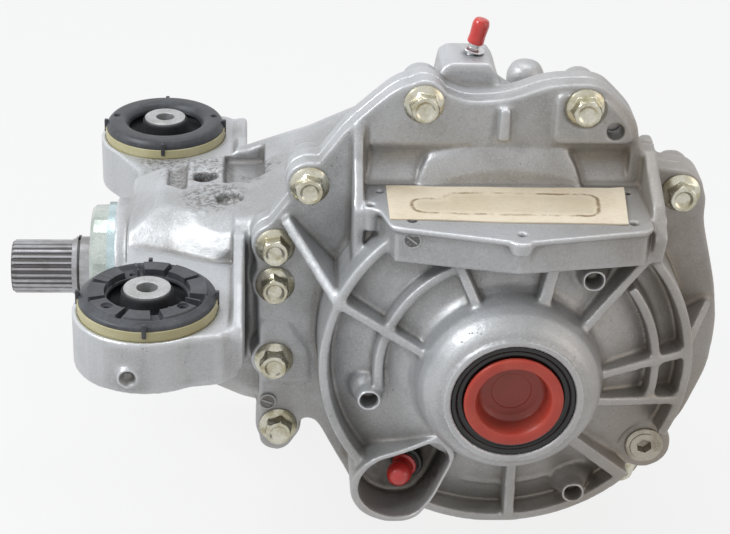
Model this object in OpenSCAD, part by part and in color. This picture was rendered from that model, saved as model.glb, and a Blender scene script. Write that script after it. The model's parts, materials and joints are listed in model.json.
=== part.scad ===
// Rear differential: final drive for a car's rear axle, with a limited-slip clutch pack.
// Two front rubber bushes carry it. The splined input shaft points to -X, the outputs to -Y and +Y.
// The origin lies midway between the tops of the two bush sleeves. Units are millimetres.

/* [Mounting bushes] */
// Distance from the axle line forward to the bush axes
bush_reach = 215; // [208:1:226]
// Distance between the two bush axes
bush_spacing = 250; // [242:1:262]
// Height of the bush sleeve tops above the axle line
bush_height = 52.5; // [50:0.5:56]
// Radius of the casing's bore for the bush shell
bush_bore_r = 41; // [39:0.5:42]
// Radius of the steel sleeve
bush_sleeve_r = 14; // [12:0.5:16]
// Radius of the bolt hole through the sleeve
bush_hole_r = 6.25; // [5:0.25:8]
// Length of the steel sleeve
bush_sleeve_len = 58; // [54:1:64]
// Wall of the casing round the bush
eye_wall = 3.5; // [3:0.5:6]
// Height of the casing eye
eye_depth = 34; // [30:1:38]
// Distance from the sleeve top down to the eye top
eye_drop = 13.5; // [12:0.5:16]
// Thickness of the bush shell
shell_wall = 2.5; // [2:0.25:4]
// Height of the shell's pale collar on the eye
collar_height = 6; // [4:0.5:8]
// Height of the black stop on the collar
stop_height = 6; // [4:0.5:7]

/* [Gear set] */
// Teeth on the ring gear
ring_teeth = 41; // [39:1:43]
// Teeth on the pinion
pinion_teeth = 13; // [12:1:14]
// Outer cone distance of the ring gear and pinion
cone_distance = 96.5; // [95:0.5:97.5]
// Length of the gear teeth along the cone
face_width = 27; // [24:1:28]
// Turn of the ring gear's teeth along their length, in degrees
spiral_turn = 11; // [0:1:12]
// Play between the teeth of the ring gear and pinion
gear_play = 0.5; // [0.4:0.05:0.8]
// Radius of the ring gear's bore
ring_bore_r = 62; // [58:0.5:62]
// Distance from the pinion axis to the ring gear's back face
ring_back = 52; // [50:1:54]
// Number of ring gear bolts
ring_bolts = 12; // [8:1:14]
// Radius of the ring gear's bolt circle
ring_bolt_circle = 76; // [74:0.5:77]

/* [Differential gears] */
// Teeth on each side gear
side_teeth = 16; // [14:2:18]
// Teeth on each planet gear
planet_teeth = 10; // [10:2:12]
// Outer cone distance of the side and planet gears
cluster_distance = 36; // [34:0.5:37]
// Length of their teeth along the cone
cluster_face = 13; // [11:0.5:14]
// Play between their teeth
cluster_play = 0.6; // [0.5:0.05:0.8]
// Radius of the cross pin
cross_pin_r = 8.5; // [7:0.25:9]
// Radius of the side gear hubs
side_hub_r = 24; // [23:0.25:24.5]
// Thickness of the thrust washers
washer_t = 1.5; // [1:0.1:2]

/* [Clutch pack] */
// Number of friction discs
disc_count = 8; // [4:1:8]
// Thickness of each disc and plate
disc_t = 1.8; // [1.4:0.1:1.9]
// Gap between neighbouring discs and plates
disc_gap = 0.3; // [0.2:0.05:0.4]
// Inner radius of the clutch drum
drum_r = 54; // [52:0.5:55]
// Wall of the clutch drum
drum_wall = 6.5; // [5.5:0.5:7]
// Lugs round each steel plate
plate_lugs = 8; // [6:1:12]

/* [Bearings] */
// Radius of the case journals in the carrier bearings
journal_r = 30; // [29:0.5:31]
// Outer radius of the carrier bearings
carrier_race_r = 48; // [46:0.5:49]
// Width of the carrier bearings
carrier_race_w = 22; // [18:1:23]
// Radius of the pinion shaft in its head bearing
head_seat_r = 24; // [23:0.5:25]
// Outer radius of the head bearing
head_race_r = 44; // [42:0.5:45]
// Width of the head bearing
head_race_w = 26; // [22:1:28]
// Radius of the pinion shaft in its tail bearing
tail_seat_r = 21; // [20.75:0.25:22]
// Outer radius of the tail bearing
tail_race_r = 37; // [36:0.5:38]
// Width of the tail bearing
tail_race_w = 20; // [18:1:22]
// Radial clearance of a part that turns in another
running_fit = 0.06; // [0.04:0.01:0.1]
// Radial clearance of a part that is pressed into another
press_fit = 0.02; // [0.01:0.01:0.04]

/* [Input shaft] */
// Length of the splined end
spline_len = 39; // [36:1:48]
// Tip radius of the spline
spline_r = 17.4; // [16:0.1:18]
// Depth of the spline teeth
spline_depth = 1.3; // [1:0.1:1.6]
// Number of spline teeth
spline_teeth = 26; // [20:1:32]
// Distance from the axle line to the casing's nose face
nose_reach = 241; // [238:1:246]
// Outer radius of the casing's nose
nose_r = 45; // [43:0.5:47]
// Outer radius of the faceted lock ring
lock_ring_r = 40.5; // [40:0.5:42]
// Facets round the lock ring
lock_ring_facets = 24; // [14:1:30]
// Width of the lock ring's faceted head
lock_ring_w = 11; // [9:0.5:13]

/* [Casing and cover] */
// Distance from the axle's middle to the joint face of casing and cover
joint_face = 70; // [68:0.5:72]
// Thickness of the cover's flange
cover_flange_t = 12; // [11:0.5:14]
// Thickness of the casing's flange
casing_flange_t = 13; // [11:0.5:15]
// Inner radius of the casing round the ring gear
chamber_r = 101; // [99:0.5:102]
// Wall of the casing round the ring gear
chamber_wall = 11; // [8:0.5:12]
// Distance from the axle's middle to the near output face
near_face = 169; // [166:0.5:172]
// Distance from the axle's middle to the far output face
far_face = 118; // [115:0.5:122]
// Radius of the output seals
seal_r = 37; // [35:0.5:38]
// Radius of the hole in the output seals
seal_hole_r = 27; // [26:0.5:28]
// Depth of the output seals
seal_depth = 10; // [8:0.5:12]
// Outer radius of the cover's round rib
rim_r = 113.5; // [112:0.5:115]
// Distance from the axle's middle to the round rib's crest
rim_front = 128; // [126:0.5:130]
// Thickness of the cover's ribs
rib_t = 6; // [4:0.5:7]
// Radius of the boss round the near output
boss_r = 55; // [54:0.5:57]
// Height of the machined pad on the cover above the axle line
pad_height = 100; // [99:0.5:103]
// Radius of the threaded holes in the pad
pad_hole_r = 2.5; // [2:0.25:3]
// Distance from the axle line down to the casing's feet
foot_drop = 138; // [136:0.5:144]
// Distance from the axle line down to the flanges' lower edge
flange_drop = 126; // [124:0.5:129]

/* [Fasteners and plugs] */
// Thread radius of the cover bolts
cover_bolt_r = 6; // [5:0.5:6.5]
// Radius of their flanged heads
cover_bolt_flange_r = 12; // [11:0.5:12.5]
// Radius of the filler plug's thread
plug_r = 9; // [8:0.5:10]
// Radius of the vent tube
vent_tube_r = 3.6; // [3:0.1:4.5]
// Radius of the port cap in the cover's pocket
port_cap_r = 5.6; // [5:0.1:6.2]
// Thickness of the cardboard on the pad
card_t = 0.8; // [0.5:0.1:1.5]

/* [Hidden] */
$fn = 96;
steel = [0.6, 0.6, 0.6];

// Derived places, measured from the point where the input axis crosses the axle line:
// x along the input shaft, y along the axle, z up
clearance = 0.3;
over = 1;
eye_top = bush_height - eye_drop;
eye_r = bush_bore_r + eye_wall;
eye_bottom = eye_top - eye_depth;
flange_front = joint_face + cover_flange_t;
flange_back = joint_face - casing_flange_t;
cover_root = joint_face + 2;
pressure_angle = 20;

// Ring gear and pinion
pinion_cone = atan(pinion_teeth / ring_teeth);
ring_cone = 90 - pinion_cone;
tooth_angle = 2 * sin(pinion_cone) / pinion_teeth * 180 / PI;
long_addendum = 1.15 * tooth_angle;
short_addendum = 0.6 * tooth_angle;
root_gap = 0.25 * tooth_angle;
inner_distance = cone_distance - face_width;
pinion_tip_r = cone_distance * sin(pinion_cone + long_addendum);
pinion_back = cone_distance * cos(pinion_cone) + 1;
neck_r = cone_distance * sin(pinion_cone - short_addendum - root_gap) - 2;

// Differential gears
planet_cone = atan(planet_teeth / side_teeth);
side_cone = 90 - planet_cone;
cluster_angle = 2 * sin(planet_cone) / planet_teeth * 180 / PI;
side_back = cluster_distance * cos(side_cone) + 8;
case_wall = side_back + washer_t + 2 * running_fit;
planet_back = cluster_distance + 7;
ball_r = planet_back + washer_t + 2 * running_fit;
barrel_r = ball_r + 7.7;
case_lip = ring_back + 10;
drum_lip = case_lip + 10;
lip_r = ring_bolt_circle + 12;
pack_start = case_lip + 4;
plate_count = disc_count + 1;
pack_pitch = disc_t + disc_gap;
pack_length = (disc_count + plate_count) * pack_pitch;
spring_start = pack_start + pack_length;
drum_end = spring_start + 4;
drum_back = drum_end + 6;
drum_outer_r = drum_r + drum_wall;
lug_r = drum_r + 3;

// Carrier bearings and outputs
near_race_y = drum_back + 2 + carrier_race_w / 2;
far_hub = case_wall + 28;
far_race_y = far_hub + 2 + carrier_race_w / 2;
near_race_end = near_race_y + carrier_race_w / 2;
far_race_end = far_race_y + carrier_race_w / 2;
near_journal_end = near_race_end + 2;
far_journal_end = far_race_end + 2;
shim_t = 1.2;
shoulder_r = carrier_race_r - 6;

// Bore, outer radius and width of the bearings
head_size = [head_seat_r + press_fit, head_race_r, head_race_w];
tail_size = [tail_seat_r + press_fit, tail_race_r, tail_race_w];
carrier_size = [journal_r + press_fit, carrier_race_r, carrier_race_w];

// Input shaft, from the gear out to the spline
head_race_x = chamber_r + 2 + head_race_w / 2;
head_race_back = head_race_x + head_race_w / 2;
nose_root = nose_reach - 9;
tail_race_x = nose_root - 24 - tail_race_w / 2;
tail_race_front = tail_race_x + tail_race_w / 2;
nut_w = 8;
seal_seat_r = tail_seat_r - 1;
collar_r = seal_seat_r - 0.5;
lock_ring_back = nose_reach + 5;
lock_ring_front = lock_ring_back + lock_ring_w;
collar_front = lock_ring_front + 13;
spline_front = collar_front + spline_len;
lock_bore_r = seal_seat_r + 10;
skirt_r = tail_race_r + 1;
skirt_back = nose_reach - 19;

// Bolts round the joint face: x and z of each
bolt_places = [[-119.5, 99], [-139.7, 57.7], [-139.6, 31.5], [-139.9, -21.8], [-136.7, -70],
    [-53, 152.4], [42.5, 150.8], [104.8, 95.9], [84, -98], [38, -119], [-30, -121.5]];
dowel_places = [[-128, 80], [125, -22]];
// Outline of the joint face, clockwise from the left
flange_points = [[-152, 60], [-98, 136], [-72, 160], [-62, 165], [-47, 162], [-27, 153], [-3, 155],
    [17, 163], [30, 165], [52, 165], [62, 156], [75, 142], [77, 127], [88, 112], [111, 110], [122, 94],
    [121, 78], [133, 33], [137, 5], [135, -26], [122, -62], [104, -88], [84, -108], [60, -flange_drop],
    [-84, -flange_drop], [-91, -109], [-103, -86], [-113, -66], [-123, -65], [-126, -82], [-135, -91],
    [-147, -87], [-149, -80], [-149, -37]];
// Outline of the machined pad, and of the pocket round the port
pad_points = [[-92, -joint_face], [-92, -78], [-88, -113], [-79, -118], [-74, -138], [-68, -141],
    [-7, -157], [0, -158.6], [7, -157], [73, -144], [79, -139], [79, -joint_face]];
pad_holes = [[-84, -110], [-61, -130.5], [1, -148], [68, -132.7], [70, -92], [-78, -92]];
pocket_points = [[-27, -58], [-38, -44], [-62, -55], [-80, -61], [-92, -74], [-93, -90], [-85, -102],
    [-69, -109], [-52, -107], [-41, -92]];
port_place = [-54, -78];
port_tilt = 22;
port_floor = 106;
// Hollow bosses on the cover, with the radius of each foot; the filler plug; where the ribs meet
boss_places = [[-83, -17, 12.5], [46.5, 65, 12.5], [45.5, -84, 15]];
plug_place = [92, -64];
plug_front = 115;
knot = [-103, 43];
ring_cap_r = seal_hole_r + 2.5;
tower_place = [-25, 168];
eye_boss = [-bush_reach - 9.8, 17];
vent_place = [-25.3, -40];
vent_lean = 14;

// Places the drive's own axes in the part's frame
module drive() {
    translate([bush_reach, 0, -bush_height])
        children();
}

// Turns a shape drawn up the z axis so that it runs along +Y, -Y, +X or -X
module along_y() {
    rotate([-90, 0, 0])
        children();
}
module along_minus_y() {
    rotate([90, 0, 0])
        children();
}
module along_minus_x() {
    rotate([0, -90, 0])
        children();
}
module along_minus_z() {
    rotate([180, 0, 0])
        children();
}

// Places a shape drawn up the z axis on the axle, towards -Y, or on the input axis, towards its spline
module on_axle() {
    drive()
        along_minus_y()
            children();
}
module on_input(x) {
    drive()
        along_minus_x()
            translate([0, 0, x])
                children();
}

// Plate with its outline in x and z, between two distances towards -Y
module upright(front, back) {
    translate([0, -back, 0])
        rotate([90, 0, 0])
            linear_extrude(height = front - back)
                children();
}

// Plate with its outline in x and y, between two heights
module flat(low, high) {
    translate([0, 0, low])
        linear_extrude(height = high - low)
            children();
}

// Cylinder along y at a place in x and z, from a distance towards -Y
module bar(place, front, r, length) {
    translate([place[0], -front, place[1]])
        along_y()
            cylinder(r = r, h = length);
}

// Tube along z
module ring(inner, outer, low, high) {
    difference() {
        translate([0, 0, low])
            cylinder(r = outer, h = high - low);
        translate([0, 0, low - over])
            cylinder(r = inner, h = high - low + 2 * over);
    }
}

// Corner of an outline, eased into a curve
function eased(before, corner, after, r) =
    let (a = before - corner, b = after - corner)
    let (p = corner + a * min(r / norm(a), 0.48), q = corner + b * min(r / norm(b), 0.48))
    [for (t = [0:0.25:1]) p * (1 - t) * (1 - t) + corner * 2 * t * (1 - t) + q * t * t];
function rounded(points, r) =
    let (n = len(points))
    [for (i = [0:n - 1]) each eased(points[(i + n - 1) % n], points[i], points[(i + 1) % n], r)];

// Point at a distance from a bevel gear's apex, an angle from its axis and a turn about it
function on_cone(distance, cone, turn) =
    distance * [sin(cone) * cos(turn), sin(cone) * sin(turn), cos(cone)];
// Turn at which a spherical involute from a base cone stands at another cone
function involute(base, cone) =
    let (roll = acos(min(1, cos(cone) / cos(base))))
    cone <= base ? 0 : roll / sin(base) - atan(tan(roll) / sin(base));

// Teeth of a bevel gear with its apex at the origin and its axis along +z
module bevel_teeth(teeth, pitch, addendum, dedendum, near, far, turn, steps, play) {
    base = asin(sin(pitch) * cos(pressure_angle));
    root = pitch - dedendum;
    tip = pitch + addendum;
    start = max(root, base);
    cones = [root, start + (tip - start) * 0.3, start + (tip - start) * 0.65, tip];
    play_turn = play / 4 / ((near + far) / 2 * sin(pitch)) * 180 / PI;
    halves = [for (c = cones) 90 / teeth + involute(base, pitch) - involute(base, max(c, start)) - play_turn];
    count = teeth * 8;
    loops = [for (s = [0:steps]) let (a = near + (far - near) * s / steps, twist = turn * s / steps)
        for (i = [0:teeth - 1], k = [0:7]) let (j = k < 4 ? k : 7 - k, side = k < 4 ? -1 : 1)
            on_cone(a, cones[j], twist + i * 360 / teeth + side * halves[j])];
    ends = [[0, 0, near * cos(root)], [0, 0, far * cos(root)]];
    first = count * (steps + 1);
    sides = [for (s = [0:steps - 1], i = [0:count - 1])
        let (j = (i + 1) % count, low = s * count, high = low + count)
            each [[low + i, high + i, high + j], [low + i, high + j, low + j]]];
    caps = [for (i = [0:count - 1]) let (j = (i + 1) % count)
        each [[first, i, j], [first + 1, first - count + j, first - count + i]]];
    polyhedron(points = concat(loops, ends), faces = concat(sides, caps));
}

// Round bar with straight teeth along z
module splined(tip_r, root_r, teeth, low, high) {
    pitch = 360 / teeth;
    flat(low, high)
        polygon([for (i = [0:teeth - 1], k = [[-0.36, root_r], [-0.16, tip_r], [0.16, tip_r], [0.36, root_r]])
            k[1] * [cos((i + k[0]) * pitch), sin((i + k[0]) * pitch)]]);
}

// Taper roller bearing, centred on the origin, its cones closing towards -z
function mean_r(size) = (size[0] + size[1]) / 2;
function roller_r(size) = (size[1] - size[0]) * 0.25;
roller_tilt = 12;
function roller_half(size) = atan(roller_r(size) * sin(roller_tilt) / mean_r(size));
function track_r(size, side, z) =
    (z + mean_r(size) / tan(roller_tilt)) * tan(roller_tilt + side * roller_half(size));
module outer_race(size) {
    half = size[2] / 2;
    low = track_r(size, 1, -half) + running_fit;
    high = track_r(size, 1, half) + running_fit;
    rotate_extrude()
        polygon([[low, -half], [size[1], -half], [size[1], half], [high, half]]);
}
module inner_race(size) {
    half = size[2] / 2;
    low = track_r(size, -1, -half) - running_fit;
    high = track_r(size, -1, half) - running_fit;
    rotate_extrude()
        polygon([[size[0], -half], [low, -half], [high, half], [size[0], half]]);
}
module roller_set(size) {
    middle = mean_r(size);
    reach = middle / sin(roller_tilt);
    half = roller_half(size);
    length = size[2] * 0.6;
    count = floor(2 * PI * middle / (2 * roller_r(size) + 3.4));
    bar = 1.4;
    for (i = [0:count - 1])
        rotate([0, 0, i * 360 / count])
            translate([0, 0, -middle / tan(roller_tilt)])
                rotate([0, roller_tilt, 0])
                    translate([0, 0, reach - length / 2])
                        cylinder(r1 = (reach - length / 2) * tan(half), r2 = (reach + length / 2) * tan(half),
                            h = length);
    // Cage: two hoops joined by a bar between each pair of rollers
    for (side = [-1, 1])
        translate([0, 0, side * (length / 2 + 1.6)])
            ring(middle + side * (length / 2 + 1.6) * tan(roller_tilt) - bar,
                middle + side * (length / 2 + 1.6) * tan(roller_tilt) + bar, -bar / 2, bar / 2);
    for (i = [0:count - 1])
        rotate([0, 0, (i + 0.5) * 360 / count])
            translate([0, 0, -middle / tan(roller_tilt)])
                rotate([0, roller_tilt, 0])
                    translate([-bar / 2, -bar / 2, reach - length / 2 - 1.6])
                        cube([bar, bar, length + 3.2]);
}

// Web that stands out of the cover between two places in x and z, its crest between two distances
module web(from, to, crest_from, crest_to, t = rib_t) {
    run = to - from;
    translate([from[0], 0, from[1]])
        rotate([0, -atan2(run[1], run[0]), 0])
            translate([0, 0, -t / 2])
                linear_extrude(height = t)
                    polygon([[0, -crest_from], [norm(run), -crest_to], [norm(run), -cover_root], [0, -cover_root]]);
}

// Curved web round the axle line between two angles
module arc_web(r, from, to, crest, root, t = rib_t) {
    along_minus_y()
        rotate([0, 0, from])
            rotate_extrude(angle = to - from)
                polygon([[r - t / 2, root], [r + t / 2, root], [r + t / 2, crest], [r - t / 2, crest]]);
}

// Plain hole through both flanges
module flange_hole() {
    bar([61.6, 136], flange_front + 10, 5.15, 40);
}

// Outline shared by the two flanges
module joint_outline() {
    polygon(rounded(flange_points, 9));
    for (place = bolt_places)
        translate(place)
            circle(r = cover_bolt_flange_r + 2.5);
}

// Outer form of the main casing
module casing_form() {
    barrel = chamber_r + chamber_wall;
    far_boss = carrier_race_r + 9;
    upright(joint_face, flange_back)
        joint_outline();
    // Round chamber and the cone down to the far output
    along_y()
        rotate_extrude()
            polygon([[0, -joint_face], [barrel, -joint_face], [barrel, 6], [barrel - 10, 24],
                [far_boss + 8, far_race_y - 16], [far_boss, far_race_y - 8], [far_boss - 1, far_race_y + 14],
                [far_boss - 6, far_face - 12], [seal_r + 7, far_face - 3], [seal_r + 4.5, far_face - 2],
                [seal_r + 4.5, far_face], [0, far_face]]);
    // Body between the chamber and the nose
    intersection() {
        upright(66, -66)
            polygon([[-nose_root, nose_r], [19 - nose_root, 58], [-158, 63], [-128, 76], [-60, 104], [0, 108],
                [0, -112], [-100, -112], [-146, -84], [-184, -62], [18 - nose_root, -51], [-nose_root, -nose_r]]);
        along_minus_x()
            rotate_extrude()
                polygon([[0, -10], [118, -10], [118, 60], [94, 118], [84, nose_root - 72], [66, nose_root - 28],
                    [60, nose_root], [0, nose_root]]);
    }
    along_minus_x()
        rotate_extrude()
            polygon([[0, 100], [64, 100], [58, nose_reach - 51], [nose_r + 3, nose_reach - 15],
                [nose_r, nose_reach - 11], [nose_r, nose_reach], [0, nose_reach]]);
    for (side = [-1, 1])
        bush_arm(side);
    // Vent tower and the core boss beside it
    upright(58, 22)
        polygon([[-62, 100], [-55, 140], [-44, 148], [-41, tower_place[1] - 3], [-36, tower_place[1]],
            [-12, tower_place[1]], [-8, tower_place[1] - 6], [-4, 148], [12, 138], [30, 100]]);
    translate([17, -2, 100])
        rotate_extrude()
            polygon([[0, 0], [12, 0], [12, 40], [9, 46], [4, 48], [0, 48]]);
    upright(60, 50)
        polygon([[76, 84], [80, 116], [84, 121], [90, 120], [96, 84]]);
    // Mounting pad at the back, and the feet
    upright(30, -34)
        polygon([[88, -26], [88, 60], [118, 34], [124, 28], [124, -20], [118, -26]]);
    for (y = [-38, 40])
        translate([0, y, 0])
            upright(4, -4)
                polygon([[-78, -70], [-60, -foot_drop], [52, -foot_drop], [70, -70]]);
    // Drain boss
    translate([30, 2, -118])
        cylinder(r = plug_r + 6, h = 30);
    // Bosses behind the flange for the cover's bolts
    for (place = bolt_places)
        bar(place, flange_back + over, cover_bolt_r + 5.5, 14 + over);
    // Hollow boss on the near eye
    bar(eye_boss, bush_spacing / 2 + eye_r + 2.5, 6.6, 8);
    // Ribs on the far cone
    for (turn = [20, 62, 118, 160, 205, 335])
        along_y()
            rotate([0, 0, turn])
                rotate([90, 0, 0])
                    translate([0, 0, -rib_t / 2])
                        linear_extrude(height = rib_t)
                            polygon([[40, far_race_y + 11], [far_boss, far_race_y + 11],
                                [barrel - 3, 22], [barrel - 3, 0], [40, 0]]);
}

// Arm from the body to a bush eye
module bush_arm(side) {
    wall_top = side < 0 ? 60 : 49;
    flat(eye_bottom, eye_top) {
        translate([-bush_reach, side * bush_spacing / 2])
            circle(r = eye_r);
        polygon([[1 - nose_root, side * 40], [1 - nose_root, side * 66],
            [-bush_reach - eye_r * 0.9, side * (bush_spacing / 2 - eye_r * 0.4)],
            [-bush_reach, side * bush_spacing / 2],
            [-bush_reach + eye_r * 0.55, side * (bush_spacing / 2 + eye_r * 0.835)],
            [-172, side * 159], [-161, side * 149], [-158, side * 130], [-158, side * 40]]);
    }
    // Raised wall behind the eye
    translate([-165, 0, 0])
        rotate([90, 0, 90])
            linear_extrude(height = 7)
                polygon([[side * 40, 0], [side * 40, wall_top], [side * 69, wall_top - 1], [side * 120, wall_top - 8],
                    [side * 152, eye_top + 1.5], [side * 156, eye_top - 4], [side * 148, eye_bottom + 6],
                    [side * 66, -30]]);
    // Gusset under the arm
    translate([-200, 0, 0])
        rotate([90, 0, 90])
            linear_extrude(height = 9)
                polygon([[side * 40, eye_top - 4], [side * 78, eye_top - 4], [side * 86, eye_bottom + 1],
                    [side * 50, -34], [side * 40, -34]]);
}

// Space inside the main casing
module casing_space() {
    along_y()
        rotate_extrude()
            polygon([[0, -joint_face - over], [chamber_r, -joint_face - over], [chamber_r, -8],
                [chamber_r - 8, 2], [barrel_r + 8, 14], [barrel_r + 6, far_race_y - carrier_race_w / 2 - 14],
                [shoulder_r, far_race_y - carrier_race_w / 2 - 6],
                [shoulder_r, far_race_y - carrier_race_w / 2 - over],
                [carrier_race_r + press_fit, far_race_y - carrier_race_w / 2 - over],
                [carrier_race_r + press_fit, far_race_end + shim_t],
                [shoulder_r, far_race_end + shim_t],
                [shoulder_r, far_journal_end + 3], [seal_r - 4, far_journal_end + 6],
                [seal_r - 4, far_face - seal_depth - over], [seal_r + press_fit, far_face - seal_depth - over],
                [seal_r + press_fit, far_face - over], [seal_r + 1.5, far_face + 0.5], [0, far_face + 0.5]]);
    along_minus_x()
        rotate_extrude()
            polygon([[0, 40], [pinion_tip_r + 4, 40], [pinion_tip_r + 4, chamber_r - 6],
                [head_race_r + press_fit, chamber_r - 6],
                [head_race_r + press_fit, head_race_back], [head_race_r - 6, head_race_back],
                [tail_race_r - 5, head_race_back + 12], [tail_race_r - 5, tail_race_front - tail_race_w],
                [tail_race_r + press_fit, tail_race_front - tail_race_w], [tail_race_r + press_fit, skirt_back - 4],
                [skirt_r + press_fit, skirt_back - 4], [skirt_r + press_fit, nose_reach + over], [0, nose_reach + over]]);
}

module main_casing() {
    color([0.74, 0.75, 0.77])
        drive()
            difference() {
                casing_form();
                casing_space();
                for (side = [-1, 1])
                    translate([-bush_reach, side * bush_spacing / 2, 0]) {
                        translate([0, 0, eye_bottom - over])
                            cylinder(r = bush_bore_r + press_fit, h = eye_depth + 2 * over);
                        // Clearance over the eye and the scoop round it
                        translate([0, 0, eye_top])
                            cylinder(r = eye_r + 1.5, h = 60);
                        intersection() {
                            translate([0, 0, eye_top + 6])
                                cylinder(r1 = eye_r + 20, r2 = eye_r + 51, h = 18);
                            translate([-100, -100, eye_top])
                                cube([bush_reach - 165 + 100, 200, 40]);
                        }
                    }
                for (place = bolt_places)
                    bar(place, joint_face + over, cover_bolt_r + press_fit, 22 + over);
                for (place = dowel_places)
                    bar(place, joint_face + over, 4 + press_fit, 8 + over);
                flange_hole();
                // Tapped hole, core pockets and recess on top of the nose
                translate([-168, -23, 40])
                    cylinder(r = 4.5, h = 40);
                translate([-168, -23, 56])
                    cylinder(r = 8.5, h = 20);
                translate([-184, 12, 48])
                    cylinder(r = 8, h = 20);
                flat(52, 80)
                    polygon([[-208, 4], [-196, -6], [-196, 40], [-208, 40]]);
                flat(54, 90)
                    polygon([[-172, 0], [-146, 0], [-146, 46], [-172, 46]]);
                // Tapped holes for the rear mount
                for (z = [-12, 18])
                    translate([124 + over, 2, z])
                        along_minus_x()
                            cylinder(r = 5.1, h = 18 + over);
                translate([vent_place[0], vent_place[1], tower_place[1] - 14])
                    rotate([0, vent_lean, 0])
                        cylinder(r = vent_tube_r + press_fit, h = 30);
                // Drain hole
                translate([30, 2, -118 - over])
                    cylinder(r = plug_r + press_fit, h = 40);
                bar(eye_boss, bush_spacing / 2 + eye_r + 3, 4.8, 5);
            }
}

// Outer form of the side cover
module cover_form() {
    floor_in = rim_front - 15;
    upright(flange_front, joint_face)
        joint_outline();
    along_minus_y()
        rotate_extrude()
            polygon([[0, joint_face], [rim_r, joint_face], [rim_r, rim_front], [rim_r - rib_t, rim_front],
                [rim_r - rib_t - 1, floor_in], [boss_r + 5, near_face - 36], [boss_r + 1, near_face - 31],
                [boss_r, near_face - 19], [boss_r - 2.5, near_face - 12], [seal_r + 11, near_face - 6],
                [seal_r + 7, near_face - 2.8], [seal_r + 4.5, near_face - 2.4], [seal_r + 4.5, near_face],
                [0, near_face]]);
    // Ribs from the boss to the round rib and on to the flange
    web([-46, 15], knot, near_face - 22, rim_front + 1);
    web(knot, [-134, 78], rim_front + 1, flange_front + 6, rib_t + 1);
    web([-20, 46], [-36, 80], near_face - 22, rim_front + 8);
    web([16, 48], [25, 80], near_face - 22, rim_front + 8, rib_t + 2);
    web([40, 33], [82, 78], near_face - 22, rim_front + 2);
    web([50, 2], [108, 9], near_face - 24, rim_front);
    web([108, 9], [130, 22], rim_front, flange_front + 4);
    web([50, -15], [111, -24], near_face - 24, rim_front);
    web([38, -40], [78, -80], near_face - 24, rim_front, rib_t + 2);
    web([5, -50], [8, -111], near_face - 24, rim_front + 1, rib_t + 1);
    arc_web(78, 113, 190, rim_front + 8, joint_face + 20);
    arc_web(90, -14, 38, rim_front + 4, joint_face + 20);
    arc_web(86, -104, -62, rim_front - 6, joint_face + 20);
    // Machined pad with the wall under it, and the ridges beside it
    flat(pad_height - 4, pad_height)
        polygon(rounded(pad_points, 3));
    flat(pad_height - 25, pad_height - 3)
        polygon([[-88, -joint_face], [-88, -96], [-76, -118], [-71, -136], [0, -152], [75, -140], [79, -130],
            [82, -joint_face]]);
    translate([0, -154, 0])
        flat(pad_height - 9, pad_height)
            circle(r = 7);
    // Small bosses under the pad's holes
    for (place = pad_holes)
        translate([place[0], place[1], pad_height - 16])
            cylinder(r = pad_hole_r + 2.8, h = 14);
    translate([80, 0, 0])
        rotate([90, 0, 90])
            linear_extrude(height = rib_t + 2)
                polygon([[-joint_face, 50], [-rim_front - 2, 72], [-rim_front - 10, 92], [-rim_front + 6, 106],
                    [-96, 116], [-flange_front, 123], [-joint_face, 123]]);
    translate([-94, 0, 0])
        rotate([90, 0, 90])
            linear_extrude(height = rib_t)
                polygon([[-joint_face, 60], [-110, 62], [-112, pad_height - 4], [-90, pad_height + 20],
                    [-flange_front - 1, 140], [-joint_face, 140]]);
    // Bosses
    for (place = boss_places)
        translate([place[0], 0, place[1]])
            along_minus_y()
                rotate_extrude()
                    polygon([[0, joint_face + 20], [place[2], joint_face + 20], [place[2], rim_front - 13],
                        [10, rim_front - 2], [7.4, rim_front + 3], [7.4, rim_front + 12], [0, rim_front + 12]]);
    translate([plug_place[0], 0, plug_place[1]])
        along_minus_y()
            translate([0, 0, cover_root])
                cylinder(r = plug_r + 8, h = plug_front - cover_root);
    // Pocket round the port
    upright(rim_front + 8, cover_root)
        polygon(rounded(pocket_points, 7));
    // Raised face for the dial marks beside the fourth bolt
    upright(flange_front + 1.2, cover_root)
        polygon(rounded([[-149.5, 6], [-132, 6], [-118, -16], [-118, -38], [-147, -38]], 5));
}

// Rib, raised block and bulge on the upper flange, over the pad
module cover_top() {
    upright(flange_front + 5, cover_root)
        polygon([[-9, 130], [-8, 151], [-2, 151], [-1, 130]]);
    upright(flange_front + 3, cover_root)
        polygon(rounded([[25, 128], [25, 160], [48, 161], [60, 152], [71, 139], [73, 128]], 5));
    intersection() {
        along_minus_y()
            rotate_extrude()
                polygon([[104, joint_face + 1], [131, joint_face + 6], [126, flange_front],
                    [112, flange_front + 4], [104, flange_front + 4]]);
        translate([-57, -near_face, pad_height])
            cube([102, near_face, 60]);
        bar([-6, 92], near_face, 50, near_face);
    }
}

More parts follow.
